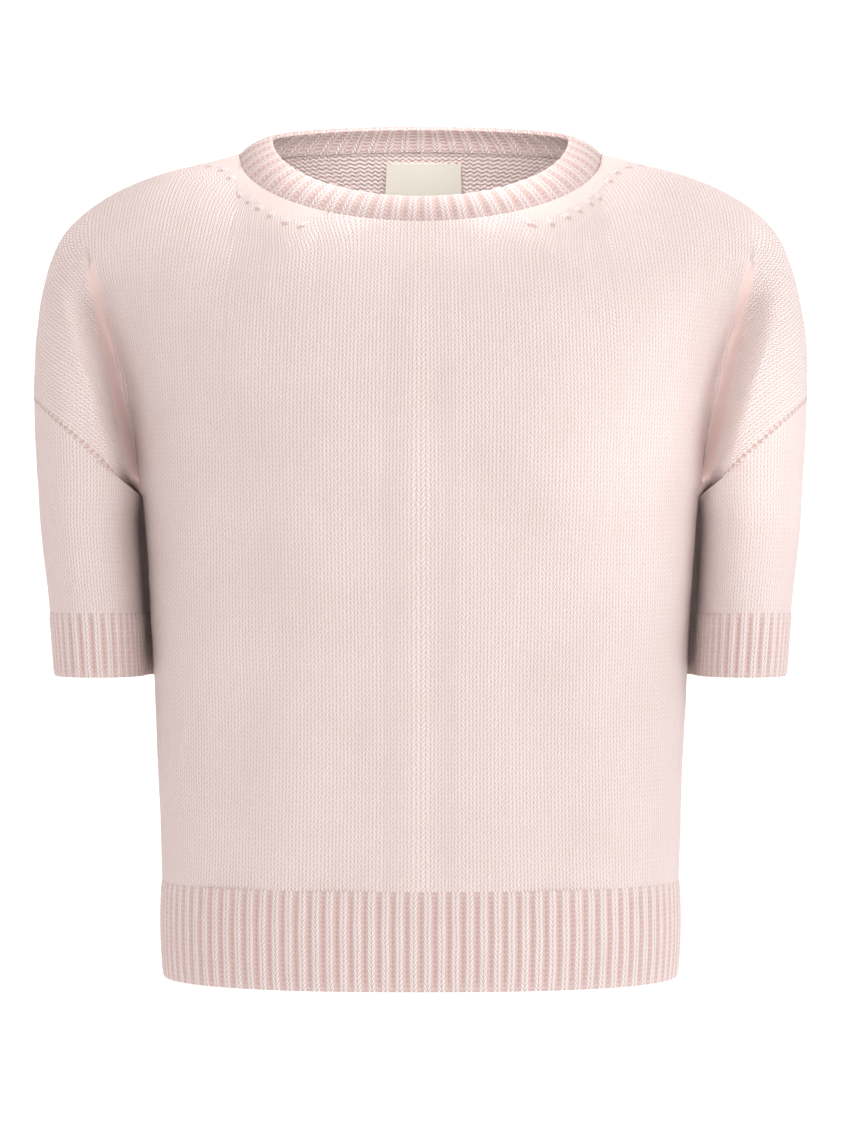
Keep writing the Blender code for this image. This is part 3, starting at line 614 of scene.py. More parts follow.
# Painted shade in the crease beside the body: the height there is held low and flat, which darkens the colour.
CREASE_SHADE_HEIGHT = 0.25
place = add(tree, "UVMap", output="UV", uv_map="neckline")
in_strip = add(tree, "SeparateXYZ", (place,), output="Y")
in_strip = add(tree, "MapRange", (in_strip, NEAR, NEAR + STRIP_EDGE, 0.0, STRIP_SHARE))
place = add(tree, "UVMap", output="UV", uv_map="crease")
in_crease = add(tree, "SeparateXYZ", (place,), output="Y")
height = add(tree, "Mix", {0: in_strip, 2: height, 3: STRIP_SHADE_HEIGHT}, data_type="FLOAT")
height = add(tree, "Mix", {0: in_crease, 2: height, 3: CREASE_SHADE_HEIGHT}, data_type="FLOAT")
yarn_with_strip_shade = add(tree, "Mix", {0: in_strip, 6: YARN_LIGHT, 7: YARN_STRIP_SHADE}, output=2, data_type="RGBA")
wool(tree, height, 0.12, yarn_with_strip_shade)
print("wales to 10 cm:", round(100 / WALE, 1), "courses to 10 cm:", round(100 / COURSE, 1))

# %% Stocking stitch, wrong side: the small purl bumps seen inside the neck and the hem
purl, tree = new_material("Brushed cashmere, purl side")
numbers = add(tree, "UVMap", output="UV", uv_map="stitches")
wale, course = (add(tree, "SeparateXYZ", (numbers,), output=axis) for axis in "XY")
wave = add(tree, "Math", (wale, 2 * math.pi), operation="MULTIPLY")
wave = add(tree, "Math", (wave,), operation="SINE")
wave = add(tree, "Math", (wave, 0.22, course), operation="MULTIPLY_ADD")
fold = add(tree, "Math", (wave, 0.5), operation="PINGPONG")
height = add(tree, "Math", (fold, 2.0), operation="MULTIPLY")
height = add(tree, "Math", (height, 0.7), operation="POWER")
wool(tree, height, 0.15)
print("purl side made")

# %% [markdown]
# One-by-one rib has a raised column of Vs beside a sunk column of purl bumps, which looks like a twisted
# rope. The raised columns are real ridges in the mesh of the ribs. The material only has to know which part
# of a ridge it is on, and it paints the sunk purl columns darker, as shade.

# %% Ribs: one for the hem and cuffs, and a copy painted darker, as shade, for the upward-facing neckband
KNIT_SHARE = 0.58  # how far the raised column reaches from its crest to the middle of the groove


def rib_knit(name, light, purl_shade, groove_shade_and_rosy_patches):
    """One-by-one rib. The first of its numbers counts ridges and the second counts courses."""
    material, tree = new_material(name)
    numbers = add(tree, "UVMap", output="UV", uv_map="stitches")
    ridge, course = (add(tree, "SeparateXYZ", (numbers,), output=axis) for axis in "XY")
    shifted = add(tree, "Math", (ridge, 0.5), operation="ADD")
    off_crest = add(tree, "Math", (shifted, 0.5), operation="PINGPONG")
    off_crest = add(tree, "Math", (off_crest, 2.0), operation="MULTIPLY")
    spread = add(tree, "Math", (off_crest, KNIT_SHARE), operation="DIVIDE", use_clamp=True)
    knit = v_stitch(tree, spread, course)
    slant = add(tree, "Math", (off_crest, 0.9, course), operation="MULTIPLY_ADD")
    rope = add(tree, "Math", (slant, 0.5), operation="PINGPONG")
    rope = add(tree, "Math", (rope, 1.1), operation="MULTIPLY")
    in_groove = add(tree, "MapRange", (off_crest, KNIT_SHARE - 0.06, KNIT_SHARE + 0.08, 0.0, 1.0))
    height = add(tree, "Mix", {0: in_groove, 2: knit, 3: rope}, data_type="FLOAT")
    # Painted shade: the sunk purl columns take the darker purl colour.
    yarn = add(tree, "Mix", {0: in_groove, 6: light, 7: purl_shade}, output=2, data_type="RGBA")
    wool(tree, height, 0.1, yarn, groove_shade_and_rosy_patches)
    return material


rib = rib_knit("Brushed cashmere, one-by-one rib", YARN_LIGHT, YARN_PURL_SHADE, YARN_RIB_GROOVE_SHADE_AND_ROSY_PATCHES)
neck_rib_painted_shade = rib_knit("Brushed cashmere, neckband rib, painted shade", YARN_NECKBAND_SHADED, YARN_NECK_PURL_SHADED, YARN_NECK_GROOVE_SHADE_AND_ROSY_PATCHES)
print("ribs made")

# %% [markdown]
# ## The front and the back
#
# Both panels are grids with rows from the rib up to the shoulder and columns from side to side. The columns
# lie closer together where the cloth dives into the fold at the underarm.

# %% Grids of both panels
PANEL_THICKNESS = 2.0
FOLD_THICKNESS = 1.0
NEAR_FOLD = 0.68
half_columns = np.concatenate((
    np.linspace(0.0, NECK_SHARE, 41)[:-1],
    np.linspace(NECK_SHARE, NEAR_FOLD, 21)[:-1],
    np.linspace(NEAR_FOLD, 1.0, 46),
))
columns_u = np.concatenate((-half_columns[:0:-1], half_columns))
rows_v = np.concatenate((np.linspace(0.0, 1.0, 46)[:-1], np.linspace(1.0, 2.0, 76)))
grid_u, grid_v = np.meshgrid(columns_u, rows_v)


def uneven(points):
    """Slight unevenness of soft knitting, in millimetres."""
    x, y, z = np.moveaxis(points, -1, 0)
    slow = np.sin(x / 17.0 + 1.4 * np.sin(z / 31.0)) * np.sin(z / 23.0 + 0.9 * np.sin(x / 37.0))
    quick = np.sin(x / 7.3 + z / 11.0) * np.sin(z / 6.1 - x / 13.0)
    return 0.55 * slow + 0.16 * quick


# %% [markdown]
# A flat piece of knitting has straight, even stitches, and they stay even when it is worn, since cloth bends
# but hardly stretches. So the stitches of a panel are numbered on its flat shape. A first guess of that shape
# is improved in rounds: each small cell is turned to fit as it is, and then all the cells are joined up again
# as well as they can be. Points on the flat are complex numbers here, so a turn is a multiplication.

# %% Laying a panel flat
THINNED = 5
FLAT_ROUNDS = 40


def thinned(count):
    """Every fifth of so many rows or columns, and the last."""
    return np.append(np.arange(0, count - 1, THINNED), count - 1)


def in_cells(edges, axis):
    """The mean of the two opposite edges of each cell."""
    edges = np.moveaxis(edges, axis, 0)
    return np.moveaxis((edges[1:] + edges[:-1]) / 2.0, 0, axis)


def to_edges(cells, axis):
    """The sum, on each edge, of what the cells on both sides of it give."""
    cells = np.moveaxis(cells, axis, 0)
    edges = np.zeros((cells.shape[0] + 1, *cells.shape[1:]), dtype=cells.dtype)
    edges[1:] += cells
    edges[:-1] += cells
    return np.moveaxis(edges, 0, axis)


def lay_flat(grid):
    """Where each point of a panel lies on its flat shape, in millimetres."""
    middle = grid.shape[1] // 2
    across = lengths_along(grid, 1)
    across = across - across[:, middle : middle + 1]
    underarm = np.searchsorted(rows_v, 1.0)
    guess = mix(across[underarm][None, :], across, 0.6) + 1j * lengths_along(grid, 0)
    rows, columns = thinned(grid.shape[0]), thinned(grid.shape[1])
    solid, flat = grid[np.ix_(rows, columns)], guess[np.ix_(rows, columns)]

    right, up = in_cells(np.diff(solid, axis=1), 0), in_cells(np.diff(solid, axis=0), 1)
    width, height = np.linalg.norm(right, axis=-1), np.linalg.norm(up, axis=-1)
    angle = np.arccos(np.clip((right * up).sum(axis=-1) / (width * height), -0.99, 0.99))
    area = width * height * np.sin(angle)
    up = height * np.exp(1j * angle)
    pull_across, pull_up = area / width**2, area / height**2

    number = np.arange(flat.size).reshape(flat.shape)
    net = np.zeros((flat.size, flat.size))
    for start, end, pull in (
        (number[:, :-1], number[:, 1:], to_edges(pull_across, 0)),
        (number[:-1], number[1:], to_edges(pull_up, 1)),
    ):
        np.add.at(net, (start, start), pull)
        np.add.at(net, (end, end), pull)
        np.add.at(net, (start, end), -pull)
        np.add.at(net, (end, start), -pull)
    net[0, 0] += 1.0
    joined = np.linalg.inv(net)

    for _ in range(FLAT_ROUNDS):
        flat_right, flat_up = in_cells(np.diff(flat, axis=1), 0), in_cells(np.diff(flat, axis=0), 1)
        turn = (flat_right * np.conj(up) - flat_up * width) / (-2j * area)
        turn = turn / (np.abs(turn) + 1e-9)
        want_across, want_up = to_edges(pull_across * turn * width, 0), to_edges(pull_up * turn * up, 1)
        wanted = np.zeros(flat.shape, dtype=complex)
        wanted[:, 1:] += want_across
        wanted[:, :-1] -= want_across
        wanted[1:] += want_up
        wanted[:-1] -= want_up
        flat = (joined @ wanted.reshape(-1)).reshape(flat.shape)

    stretch = np.abs(np.abs(in_cells(np.diff(flat, axis=1), 0)) / width - 1.0)
    print("stretch across, half of the cells under:", round(100 * float(np.median(stretch)), 1), "%")
    flat = flat - flat[0, flat.shape[1] // 2]
    flat = filled_in(np.arange(grid.shape[0]), rows, flat)
    flat = filled_in(np.arange(grid.shape[1]), columns, flat.T).T
    return np.stack((flat.real, flat.imag), axis=-1)


# %% [markdown]
# Two seams show in the knitting. Round the sides of the neck runs a smooth strip, and where it ends the
# columns of stitches lean over and meet it in a row of crossed stitches. Along the armhole runs a row of
# small pits. A second and a third UV map say how far along such a seam a point lies, and how near to it: 0 is
# far off. On the upper arm the columns of stitches lean until they run along the armhole, as on any sweater
# with a dropped shoulder. The cloth that makes up the difference is hidden in the crease beside the body. A
# fourth map is 1 there: the stitches fade out and the cloth is painted darker, as shade in the crease.

# %% How near the seams are
STRIP_WIDTH = 12.0
STRIP_WIDEN = 7.0
STRIP_END = 55.0
STRIP_TAPER = 16.0
STRIP_FADE = 25.0
LEAN_REACH = 30.0
LEAN_OUT = 8.0
LEAN_IN = -7.0
ARM_TURN = 30.0
ARM_TURN_FROM = (130.0, 300.0)
CREASE_WIDTH = (1.5, 4.5)
CREASE_STARTS = (0.0, 0.12)
SEAM_STEP = 0.5


def nearest(flat, seam):
    """For each point of a flat shape, how far along a seam it lies and how far from it."""
    points, line = flat[..., 0] + 1j * flat[..., 1], seam[:, 0] + 1j * seam[:, 1]
    away = np.abs(points[..., None] - line)
    return lengths_along(seam, 0)[np.argmin(away, axis=-1)], np.min(away, axis=-1)


def with_steps(seam):
    """The same seam with a point every half millimetre."""
    run = lengths_along(seam, 0)
    return filled_in(np.arange(0.0, run[-1], SEAM_STEP), run, seam)


def turned_on_arm(flat, grid):
    """The flat shape with its upper arms turned, and where the crease is that hides the difference."""
    x, z = np.abs(grid[..., 0]), grid[..., 2]
    points = np.abs(flat[..., 0]) + 1j * flat[..., 1]
    top = points.flat[np.argmin(np.hypot(x - TUCK_X[0], z - FOLD_TOP_Z))]
    underarm = points[np.searchsorted(rows_v, 1.0), -1]
    around = np.degrees(-np.angle((points - top) / (underarm - top)) % (2 * math.pi))
    down = (FOLD_TOP_Z - z) / (FOLD_TOP_Z - UNDERARM_Z)
    beyond = x > mix(*TUCK_X, down)
    around = np.where((down > 0.0) & beyond & (around < 90.0), 360.0, around)
    around = np.where((down > 0.0) & ~beyond & (around > 270.0), 0.0, around)
    turn = np.radians(ARM_TURN) * ease(around, *ARM_TURN_FROM)
    turned = top + (points - top) * np.exp(1j * np.where(grid_v > 1.0, turn, 0.0))
    off = np.abs(x - mix(*TUCK_X, down))
    crease = (1.0 - ease(off, *CREASE_WIDTH)) * ease(down, *CREASE_STARTS) * (grid_v >= 1.0)
    return np.stack((np.sign(flat[..., 0]) * turned.real, turned.imag), axis=-1), crease


def seam_maps(flat, grid):
    """The stitch numbers of a panel, leant over at the neck, and the maps of its seams and its crease."""
    at_neck = np.abs(columns_u) <= NECK_SHARE + 1e-6
    neck = with_steps(flat[-1, at_neck])
    along, away = nearest(flat, neck)
    length = SEAM_STEP * len(neck)
    from_middle = np.abs(along - length / 2.0)
    outward = ease(from_middle, STRIP_END, STRIP_END + STRIP_TAPER)
    width = (STRIP_WIDTH + STRIP_WIDEN * ease(from_middle, length / 2.0 - STRIP_FADE, length / 2.0)) * outward
    lean = (1.0 - ease(away - width, 0.0, LEAN_REACH)) * ease(from_middle, STRIP_END - STRIP_FADE, STRIP_END)
    lean = lean * mix(LEAN_IN, LEAN_OUT, ease(from_middle, STRIP_END, length / 2.0))
    turned, crease = turned_on_arm(flat, grid)
    leant = turned + np.stack((np.sign(flat[..., 0]) * lean, 0.0 * lean), axis=-1)
    near_strip = np.where(outward > 0.05, np.clip(NEAR - (away - width), 0.0, None), 0.0)
    maps = {"stitches": leant / (WALE, COURSE), "neckline": np.stack((along, near_strip), axis=-1)}
    upper = rows_v >= 1.0
    places = [nearest(flat, with_steps(flat[upper, column])) for column in (0, -1)]
    left = places[0][1] < places[1][1]
    along, away = (np.where(left, a, b) for a, b in zip(*places))
    maps["armhole"] = np.stack((along, np.clip(NEAR - away, 0.0, None)), axis=-1)
    maps["crease"] = np.stack((crease, crease), axis=-1)
    return maps


# %% Make the front and the back
PANEL_EVEN_EDGE = 12.0  # the larger, the nearer to its seams the cloth may be uneven
THIN_COLUMNS = (0.72, 0.82)
THIN_FROM = (0.9, 1.0)
THIN_TO = (1.4, 1.7)


def make_panel(name, half):
    """A panel as a knitted shell, and its outer grid."""
    grid = panel_points(grid_u, grid_v, half)
    if half == "back":
        grid = grid[:, ::-1]
    u = np.abs(grid_u)
    normals = grid_normals(grid, False)
    away = np.minimum(1.0, np.minimum(1.0 - u, np.minimum(grid_v, 2.0 - grid_v)) * PANEL_EVEN_EDGE)
    grid = grid + normals * (uneven(grid) * away)[..., None]
    fold = ease(u, *THIN_COLUMNS) * ease(grid_v, *THIN_FROM) * (1.0 - ease(grid_v, *THIN_TO))
    thickness = mix(PANEL_THICKNESS, FOLD_THICKNESS, fold)
    flat = lay_flat(grid)
    size = np.ptp(flat.reshape(-1, 2), axis=0)
    print(name, "laid flat:", np.round(size), "mm")
    return shell(name, grid, normals, thickness, seam_maps(flat, grid), (stocking, purl)), grid


front = make_panel("front_knit", "front")
back = make_panel("back_knit", "back")

# %% [markdown]
# ## Sleeves
#
# Each sleeve is a short tube from the armhole to the cuff. Its wales run straight down the arm. Towards the
# back it lies in against the side of the body, so that no light shows between the two from in front.

# %% Make the sleeves
SLEEVE_TURNS = 121
SLEEVE_ROWS = 36
LIES_IN = 11.0
LIES_IN_TURN = 0.4
LIES_IN_BELOW = (194.0, 216.0)
SLEEVE_UNEVENNESS = 0.6
SLEEVE_EVEN_EDGE = 8.0


def sleeve_ring(turn, z, side):
    """Points round the arm. Turn is 0 outside, 0.5 in front, 1 beside the body and 2 outside again."""
    across, ahead = arc(math.pi / 2 - math.pi * turn, ARM_SQUARENESS)
    radius = (arm_outer(z) - arm_inner(z)) / 2.0
    x = arm_outer(z) - radius + radius * across
    bump = np.sin(math.pi * np.clip((turn - 1.0) / LIES_IN_TURN, 0.0, 1.0)) ** 2
    x = x - LIES_IN * bump * ease(-z, *LIES_IN_BELOW)
    return np.stack((side * x, MIDDLE_Y - arm_half_depth(z) * ahead, z), axis=-1)


def make_sleeve(name, side):
    """A sleeve as a knitted shell, and its outer grid."""
    turns = np.linspace(0.0, 2.0, SLEEVE_TURNS)
    if side > 0:
        turns = 2.0 - turns
    share, turn = np.meshgrid(np.linspace(1.0, 0.0, SLEEVE_ROWS), turns, indexing="ij")
    top = armhole(np.minimum(turn, 2.0 - turn))[1]
    z = mix(top, CUFF_TOP_Z, share)
    grid = sleeve_ring(turn, z, side)
    normals = grid_normals(grid, True)
    away = np.minimum(1.0, np.minimum(share, 1.0 - share) * SLEEVE_EVEN_EDGE)
    grid = grid + normals * (SLEEVE_UNEVENNESS * uneven(grid) * away)[..., None]
    around = lengths_along(grid, 1)[SLEEVE_ROWS // 2] / WALE
    wales = np.broadcast_to(around * round(around[-1]) / around[-1], turn.shape)
    courses = (z - CUFF_Z) / COURSE
    stitches = np.stack((wales, courses), axis=-1)
    maps = {"stitches": stitches, **{seam: 0.0 * stitches for seam in ("neckline", "armhole", "crease")}}
    return shell(name, grid, normals, PANEL_THICKNESS, maps, (stocking, purl), closed=True), grid


left_sleeve = make_sleeve("left_sleeve_knit", -1.0)
right_sleeve = make_sleeve("right_sleeve_knit", 1.0)

# %% [markdown]
# ## Ribs
#
# The hem, the cuffs and the neckband are knitted in one-by-one rib, which springs together and stands in
# ridges. Each band starts as a smooth surface with ridges spaced by real length. A rib looks the same from
# both sides, so the inside has its own ridges behind the grooves of the outside. At its free edge the sheet
# rounds off.

# %% A ribbed band
RIB_RISE = 1.6
RIB_INSET = 0.96
BACK_RISE = 0.8
RIB_THICKNESS = 1.3
FREE_EDGE_WAVE = 0.45
WAVER = 0.02
POINTS_TO_A_RIB = 8
EDGE_STEPS = (0.0, 0.12, 0.35, 0.7, 1.2)
THINNEST_EDGE = 0.03
MEAN_CREST = 0.62
JOIN_LENGTH = 3.0
FREE_LENGTH = 5.0
QUARTER_POINTS = 180
RING_POINTS = 4 * QUARTER_POINTS + 1


def even_places(ring, ribs):
    """The run of a ring of points, and places spaced evenly along it, so many to each rib."""
    run = lengths_along(ring, 0)
    return run, np.linspace(0.0, run[-1], ribs * POINTS_TO_A_RIB + 1)


def band_rows(length, free_end, rows):
    """Shares of the way along a band, with more of them near its free edge."""
    near = np.array(EDGE_STEPS) / length
    middle = np.linspace(near[-1], 1.0, rows)[1:]
    places = np.concatenate((near, middle))
    return places if free_end == 0 else (1.0 - places)[::-1]


def crest(number):
    """The height of the ridges: broad tops with narrow grooves between them."""
    return np.sqrt(np.abs(np.sin(math.pi * number)))


def ribbed_band(name, grid, ribs, length, free_end, places, closed, knit=rib):
    """Waves a smooth grid in and out and makes its shell."""
    normals = grid_normals(grid, closed)
    number = np.linspace(0.0, ribs, grid.shape[1])
    from_edge = (places if free_end == 0 else 1.0 - places) * length
    rounded = np.sqrt(np.clip(1.0 - (1.0 - from_edge / EDGE_STEPS[-1]) ** 2, THINNEST_EDGE, 1.0))
    rounded = np.where(from_edge > EDGE_STEPS[-1], 1.0, rounded)[:, None]
    joined = ease((length - from_edge)[:, None], 0.0, JOIN_LENGTH)
    free = mix(FREE_EDGE_WAVE, 1.0, ease(from_edge[:, None], 0.0, FREE_LENGTH))
    wave = RIB_RISE * mix(MEAN_CREST, crest(number)[None, :], joined * free)
    back_wave = BACK_RISE * mix(MEAN_CREST, crest(number + 0.5)[None, :], joined * free)
    thickness = (RIB_THICKNESS + wave + back_wave) * rounded
    outer = grid + normals * (wave - (RIB_THICKNESS + wave) / 2.0 * (1.0 - rounded))[..., None]
    courses = np.broadcast_to((places * length / COURSE)[:, None], grid.shape[:2])
    waver = WAVER * np.sin(courses * 0.55 + 1.7 * np.sin(number * 2.1))
    uv = np.stack((number[None, :] + waver, courses), axis=-1)
    return shell(name, outer, normals, thickness, {"stitches": uv}, (knit,), closed, 0.5), outer


# %% Hem ribs
HEM_RIBS = 54
HEM_LENGTH = HEM_RIB_TOP_Z - HEM_Z
HEM_BULGE = 1.2
HEM_ROWS = 14


def make_hem(name, half):
    """A hem rib from side to side, and its outer grid."""
    angles = np.linspace(-math.pi / 2, math.pi / 2, RING_POINTS)
    across, ahead = arc(angles, BODY_SQUARENESS)
    width = float(body_half_width(HEM_Z)) - RIB_INSET
    depth = float(body_depth[half](HEM_Z)) - RIB_INSET
    ring = np.stack((width * across, toward(half, depth * np.abs(ahead))), axis=1)
    run, places = even_places(ring, HEM_RIBS)
    angles = np.interp(places, run, angles)
    rows = band_rows(HEM_LENGTH, 0, HEM_ROWS)
    if half == "back":
        angles = angles[::-1]
    z, angle = np.meshgrid(mix(HEM_Z, HEM_RIB_TOP_Z, rows), angles, indexing="ij")
    up = (z - HEM_Z) / HEM_LENGTH
    across, ahead = arc(angle, BODY_SQUARENESS)
    x = (body_half_width(z) - RIB_INSET + HEM_BULGE * np.sin(math.pi * up)) * across
    y = toward(half, (body_depth[half](z) - RIB_INSET) * np.abs(ahead))
    print(name, "rib spacing:", round(run[-1] / HEM_RIBS, 2), "mm")
    return ribbed_band(name, np.stack((x, y, z), axis=-1), HEM_RIBS, HEM_LENGTH, 0, rows, False)


front_hem = make_hem("front_hem_knit", "front")
back_hem = make_hem("back_hem_knit", "back")

# %% Cuffs
CUFF_RIBS = 45
CUFF_LENGTH = CUFF_TOP_Z - CUFF_Z
CUFF_ROWS = 12


def make_cuff(name, side):
    """A cuff rib all round the arm, and its outer grid."""
    turns = np.linspace(0.0, 2.0, RING_POINTS)
    if side > 0:
        turns = 2.0 - turns
    run, places = even_places(sleeve_ring(turns, np.full(RING_POINTS, CUFF_Z), side), CUFF_RIBS)
    turns = np.interp(places, run, turns)
    rows = band_rows(CUFF_LENGTH, 0, CUFF_ROWS)
    z, turn = np.meshgrid(mix(CUFF_Z, CUFF_TOP_Z, rows), turns, indexing="ij")
    grid = sleeve_ring(turn, z, side)
    grid = grid - grid_normals(grid, True) * RIB_INSET
    print(name, "rib spacing:", round(run[-1] / CUFF_RIBS, 2), "mm")
    return ribbed_band(name, grid, CUFF_RIBS, CUFF_LENGTH, 0, rows, True)


left_cuff = make_cuff("left_cuff_knit", -1.0)
right_cuff = make_cuff("right_cuff_knit", 1.0)

# %% Neckband
BAND_HALF_WIDTH = 89.0
BAND_SIDE_Z = 20.0
BAND_MIDDLE_Z = {"front": -21.5, "back": 29.5}
BAND_SIDE_FORWARD = 2.0
BAND_INSET = 10.0
BAND_BULGE = 1.2
NECKBAND_RIBS = 56
BAND_ROWS = 10


def neck_rings(count):
    """The neck seam and the band's free edge, from the middle of the back round by the left and on."""
    seam, edge = [], []
    for quarter in range(4):
        half = "front" if quarter in (1, 2) else "back"
        side = -1.0 if quarter < 2 else 1.0
        turn = np.arange(count) / count
        if quarter in (1, 3):
            turn = 1.0 - turn
        x, z, depth = neck_seam(turn, half)
        seam.append(np.stack((side * x, toward(half, depth), z), axis=1))
        middle = toward(half, NECK_DEPTH[half] - BAND_INSET)
        y = mix(MIDDLE_Y - BAND_SIDE_FORWARD, middle, depth / NECK_DEPTH[half])
        x = BAND_HALF_WIDTH * np.sin(math.pi / 2 * turn)
        z = mix(BAND_SIDE_Z, BAND_MIDDLE_Z[half], np.cos(math.pi / 2 * turn))
        edge.append(np.stack((side * x, y, z), axis=1))
    seam, edge = np.concatenate(seam), np.concatenate(edge)
    return np.concatenate((seam, seam[:1])), np.concatenate((edge, edge[:1]))


seam, edge = neck_rings(QUARTER_POINTS)
neck_run, places = even_places(seam, NECKBAND_RIBS)
seam, edge = filled_in(places, neck_run, seam), filled_in(places, neck_run, edge)
BAND_LENGTH = float(np.linalg.norm(edge - seam, axis=1).mean())
rows = band_rows(BAND_LENGTH, 1, BAND_ROWS)
grid = mix(seam[None], edge[None], rows[:, None, None])
bulge = BAND_BULGE * np.sin(math.pi * rows) - RIB_RISE * mix(1.0, 0.6, ease(rows, 0.0, 0.5))
grid = grid + grid_normals(grid, True) * bulge[:, None, None]
neckband = ribbed_band("neckband_knit", grid, NECKBAND_RIBS, BAND_LENGTH, 1, rows, True, neck_rib_painted_shade)
print("neckband:", round(neck_run[-1]), "mm round,", round(BAND_LENGTH, 1), "mm wide")

# %% [markdown]
# ## The label
#
# A small woven tab is sewn inside the back of the neck. Nothing is written on it.

# %% Make the label
label_cloth, tree = new_material("Cream polyester satin, woven")
place = add(tree, "TexCoord", output="Object")
THREAD = 0.6
WAVES_AT_SCALE_1 = 20.0 / (2 * math.pi)  # bands to a metre
threads = {"Vector": place, "Scale": 1.0 / (THREAD * MM * WAVES_AT_SCALE_1)}
threads = add(tree, "TexWave", threads, bands_direction="Z")
colour = add(tree, "Mix", {0: threads, 6: LABEL_SHADE, 7: LABEL_CREAM}, output=2, data_type="RGBA")
bump = add(tree, "Bump", {"Strength": 0.5, "Distance": 0.15 * MM, "Height": threads})
show(tree, add(tree, "BsdfPrincipled", {"Base Color": colour, "Roughness": 0.5, "IOR": 1.5, "Normal": bump}))

LABEL_U = (-0.078, 0.093)
LABEL_V = (1.80, 1.97)
LABEL_THICKNESS = 0.5
LABEL_GAP = 0.9
u, v = np.meshgrid(np.linspace(*LABEL_U, 15), np.linspace(*LABEL_V, 13))
grid = panel_points(u, v, "back")
normals = -grid_normals(grid, False)
grid = grid - normals * (PANEL_THICKNESS + LABEL_GAP + LABEL_THICKNESS)
across, along = lengths_along(grid, 1), lengths_along(grid, 0)
woven = {"woven": np.stack((across, along), axis=-1)}
label = shell("neck_label", grid, -normals, LABEL_THICKNESS, woven, (label_cloth,)), grid
print("label:", np.round(across[:, -1].mean(), 1), "by", np.round(along[-1].mean(), 1), "mm")

# %% [markdown]
# ## Attaching each piece
#
# Each piece rides on the one body of the sweater and takes the place of its plain solid. Its measured area
# and the size it was cut to are printed.

# %% Attach each piece and hide its plain solid
pieces = (  # piece with its grid, node, slot, cut in metres, and its area in m2 where it isn't a rectangle
    (front, "front", "knit", (0.625, 0.478), 0.213),
    (back, "back", "knit", (0.601, 0.468), 0.207),
    (left_sleeve, "left_sleeve", "knit", (0.312, 0.126), 0.031),
    (right_sleeve, "right_sleeve", "knit", (0.312, 0.126), 0.031),
    (front_hem, "front_hem_rib", "rib", (0.422, 0.058), None),
    (back_hem, "back_hem_rib", "rib", (0.389, 0.058), None),
    (left_cuff, "left_cuff_rib", "rib", (0.298, 0.038), None),
    (right_cuff, "right_cuff_rib", "rib", (0.298, 0.038), None),
    (neckband, "neckband", "rib", (0.569, 0.0204), None),
    (label, "label", "label", (0.047, 0.039), None),
)
for (piece, piece_grid), node, slot_name, flat, area in pieces:
    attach(piece, "root")
    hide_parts(node)
    around = np.round(lengths_along(piece_grid, 1).max(axis=1)[[0, -1]])
    cut = round(area or flat[0] * flat[1], 4)
    print(node, "measured", round(area_of(piece_grid), 4), "cut", cut, "round", around)

# %% [markdown]
# ## Floor, light and camera
#
# The photograph is a high-key studio picture: a white ground, soft light from all round and a little more
# from the right. The camera stands level with the chest, well back, so that the sweater isn't drawn out of
# shape.

# %% Floor and light
FLOOR_SIZE = 24.0
FLOOR_Z = -1.2
WHITE = (1.0, 1.0, 1.0, 1.0)
LIGHT_FROM = (0.86, 0.0, 0.5)
SHADE_SIDE = (0.48, 0.36, 0.33, 1.0)
SHADE_RANGE = (-0.9, -0.12)
WORLD_STRENGTH = 1.25
bpy.ops.object.select_all(action="DESELECT")
bpy.ops.mesh.primitive_plane_add(size=FLOOR_SIZE, location=(0.0, 0.0, FLOOR_Z))
floor = bpy.context.object
floor.name = "floor"
paper, tree = new_material("White studio paper")
show(tree, add(tree, "BsdfPrincipled", {"Base Color": WHITE, "Roughness": 0.9}))
floor.data.materials.append(paper)

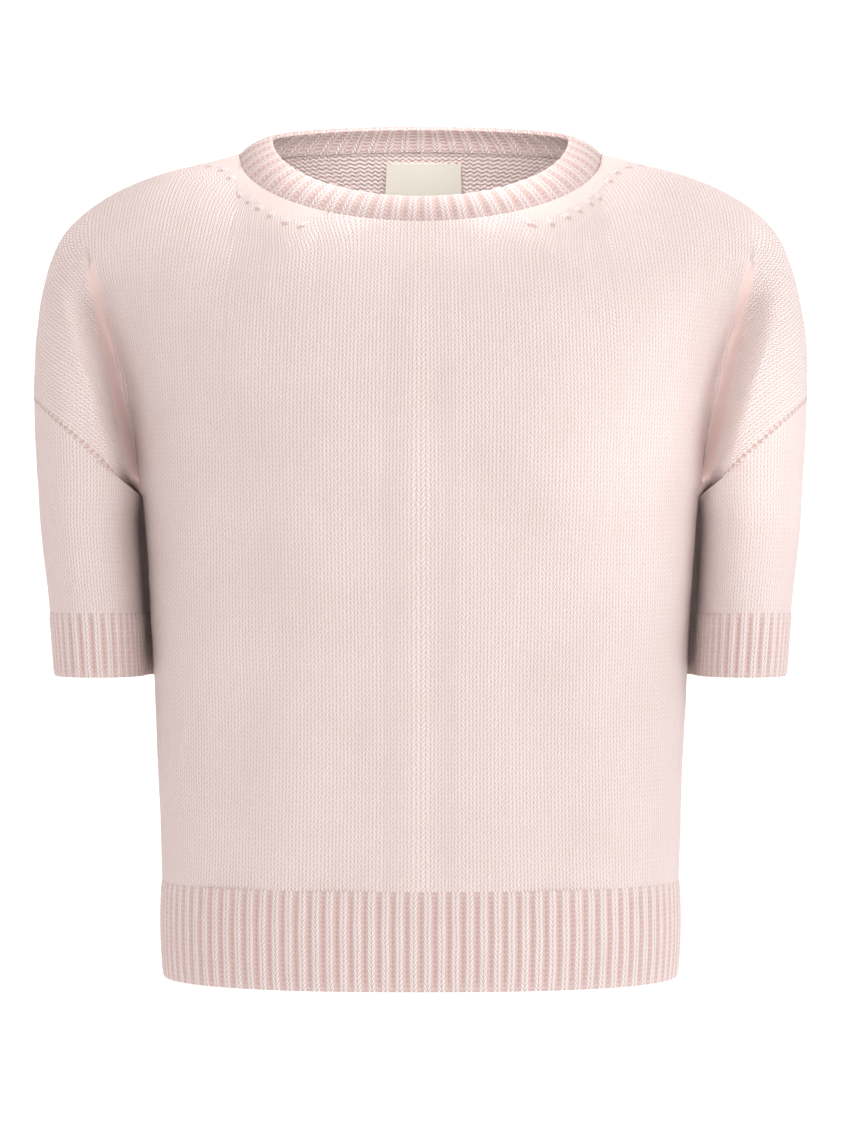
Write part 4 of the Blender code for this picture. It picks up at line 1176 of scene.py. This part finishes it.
world = bpy.data.worlds.new("Studio")
bpy.context.scene.world = world
world.use_nodes = True
tree = world.node_tree
way = add(tree, "TexCoord")
toward_light = add(tree, "VectorMath", (way, LIGHT_FROM), output="Value", operation="DOT_PRODUCT")
amount = add(tree, "MapRange", (toward_light, *SHADE_RANGE, 0.0, 1.0))
colour = add(tree, "Mix", {0: amount, 6: SHADE_SIDE, 7: WHITE}, output=2, data_type="RGBA")
tree.links.new(colour, tree.nodes["Background"].inputs["Color"])
tree.nodes["Background"].inputs["Strength"].default_value = WORLD_STRENGTH
bpy.context.scene.view_settings.view_transform = "Standard"


def soft_light(name, position, size, power, target, spread=math.pi):
    """A square lamp that looks at a point."""
    data = bpy.data.lights.new(name, "AREA")
    data.size = size
    data.energy = power
    data.spread = spread
    lamp = bpy.data.objects.new(name, data)
    bpy.context.scene.collection.objects.link(lamp)
    lamp.location = position
    away = np.array(position) - np.array(target)
    tilt, heading = math.acos(away[2] / np.linalg.norm(away)), math.atan2(away[1], away[0])
    lamp.rotation_euler = (tilt, 0.0, heading + math.pi / 2)
    lamp.visible_camera = False


CHEST = (0.0, 0.0, -0.2)
BACK_OF_NECK = (0.0, 0.06, 0.0)
RIGHT_FOLD = (0.19, 0.0, -0.17)
soft_light("key", (2.45, -1.65, 0.6), 1.2, 19.5, CHEST)
soft_light("inside the neck", (0.0, -0.03, 0.06), 0.14, 0.19, BACK_OF_NECK)
soft_light("into the right fold", (0.15, -0.6, -0.2), 0.12, 0.024, RIGHT_FOLD, math.radians(24.0))

# %% Camera
CAMERA_DISTANCE = 2.5
MM_TO_A_PIXEL = 0.6
IMAGE_HEIGHT = 1122
ORIGIN_ROW = 170.0  # the row of the image at which the origin shows
SENSOR_HEIGHT = 24.0
camera_data = bpy.data.cameras.new("camera")
camera_data.sensor_fit = "VERTICAL"
camera_data.sensor_height = SENSOR_HEIGHT
camera_data.lens = SENSOR_HEIGHT * CAMERA_DISTANCE / (IMAGE_HEIGHT * MM_TO_A_PIXEL * MM)
camera = bpy.data.objects.new("camera", camera_data)
bpy.context.scene.collection.objects.link(camera)
camera_z = (ORIGIN_ROW - IMAGE_HEIGHT / 2) * MM_TO_A_PIXEL * MM
camera.location = (0.0, MIDDLE_Y * MM - CAMERA_DISTANCE, camera_z)
camera.rotation_euler = (math.pi / 2, 0.0, 0.0)
bpy.context.scene.camera = camera
print("lens:", round(camera_data.lens, 1), "mm")
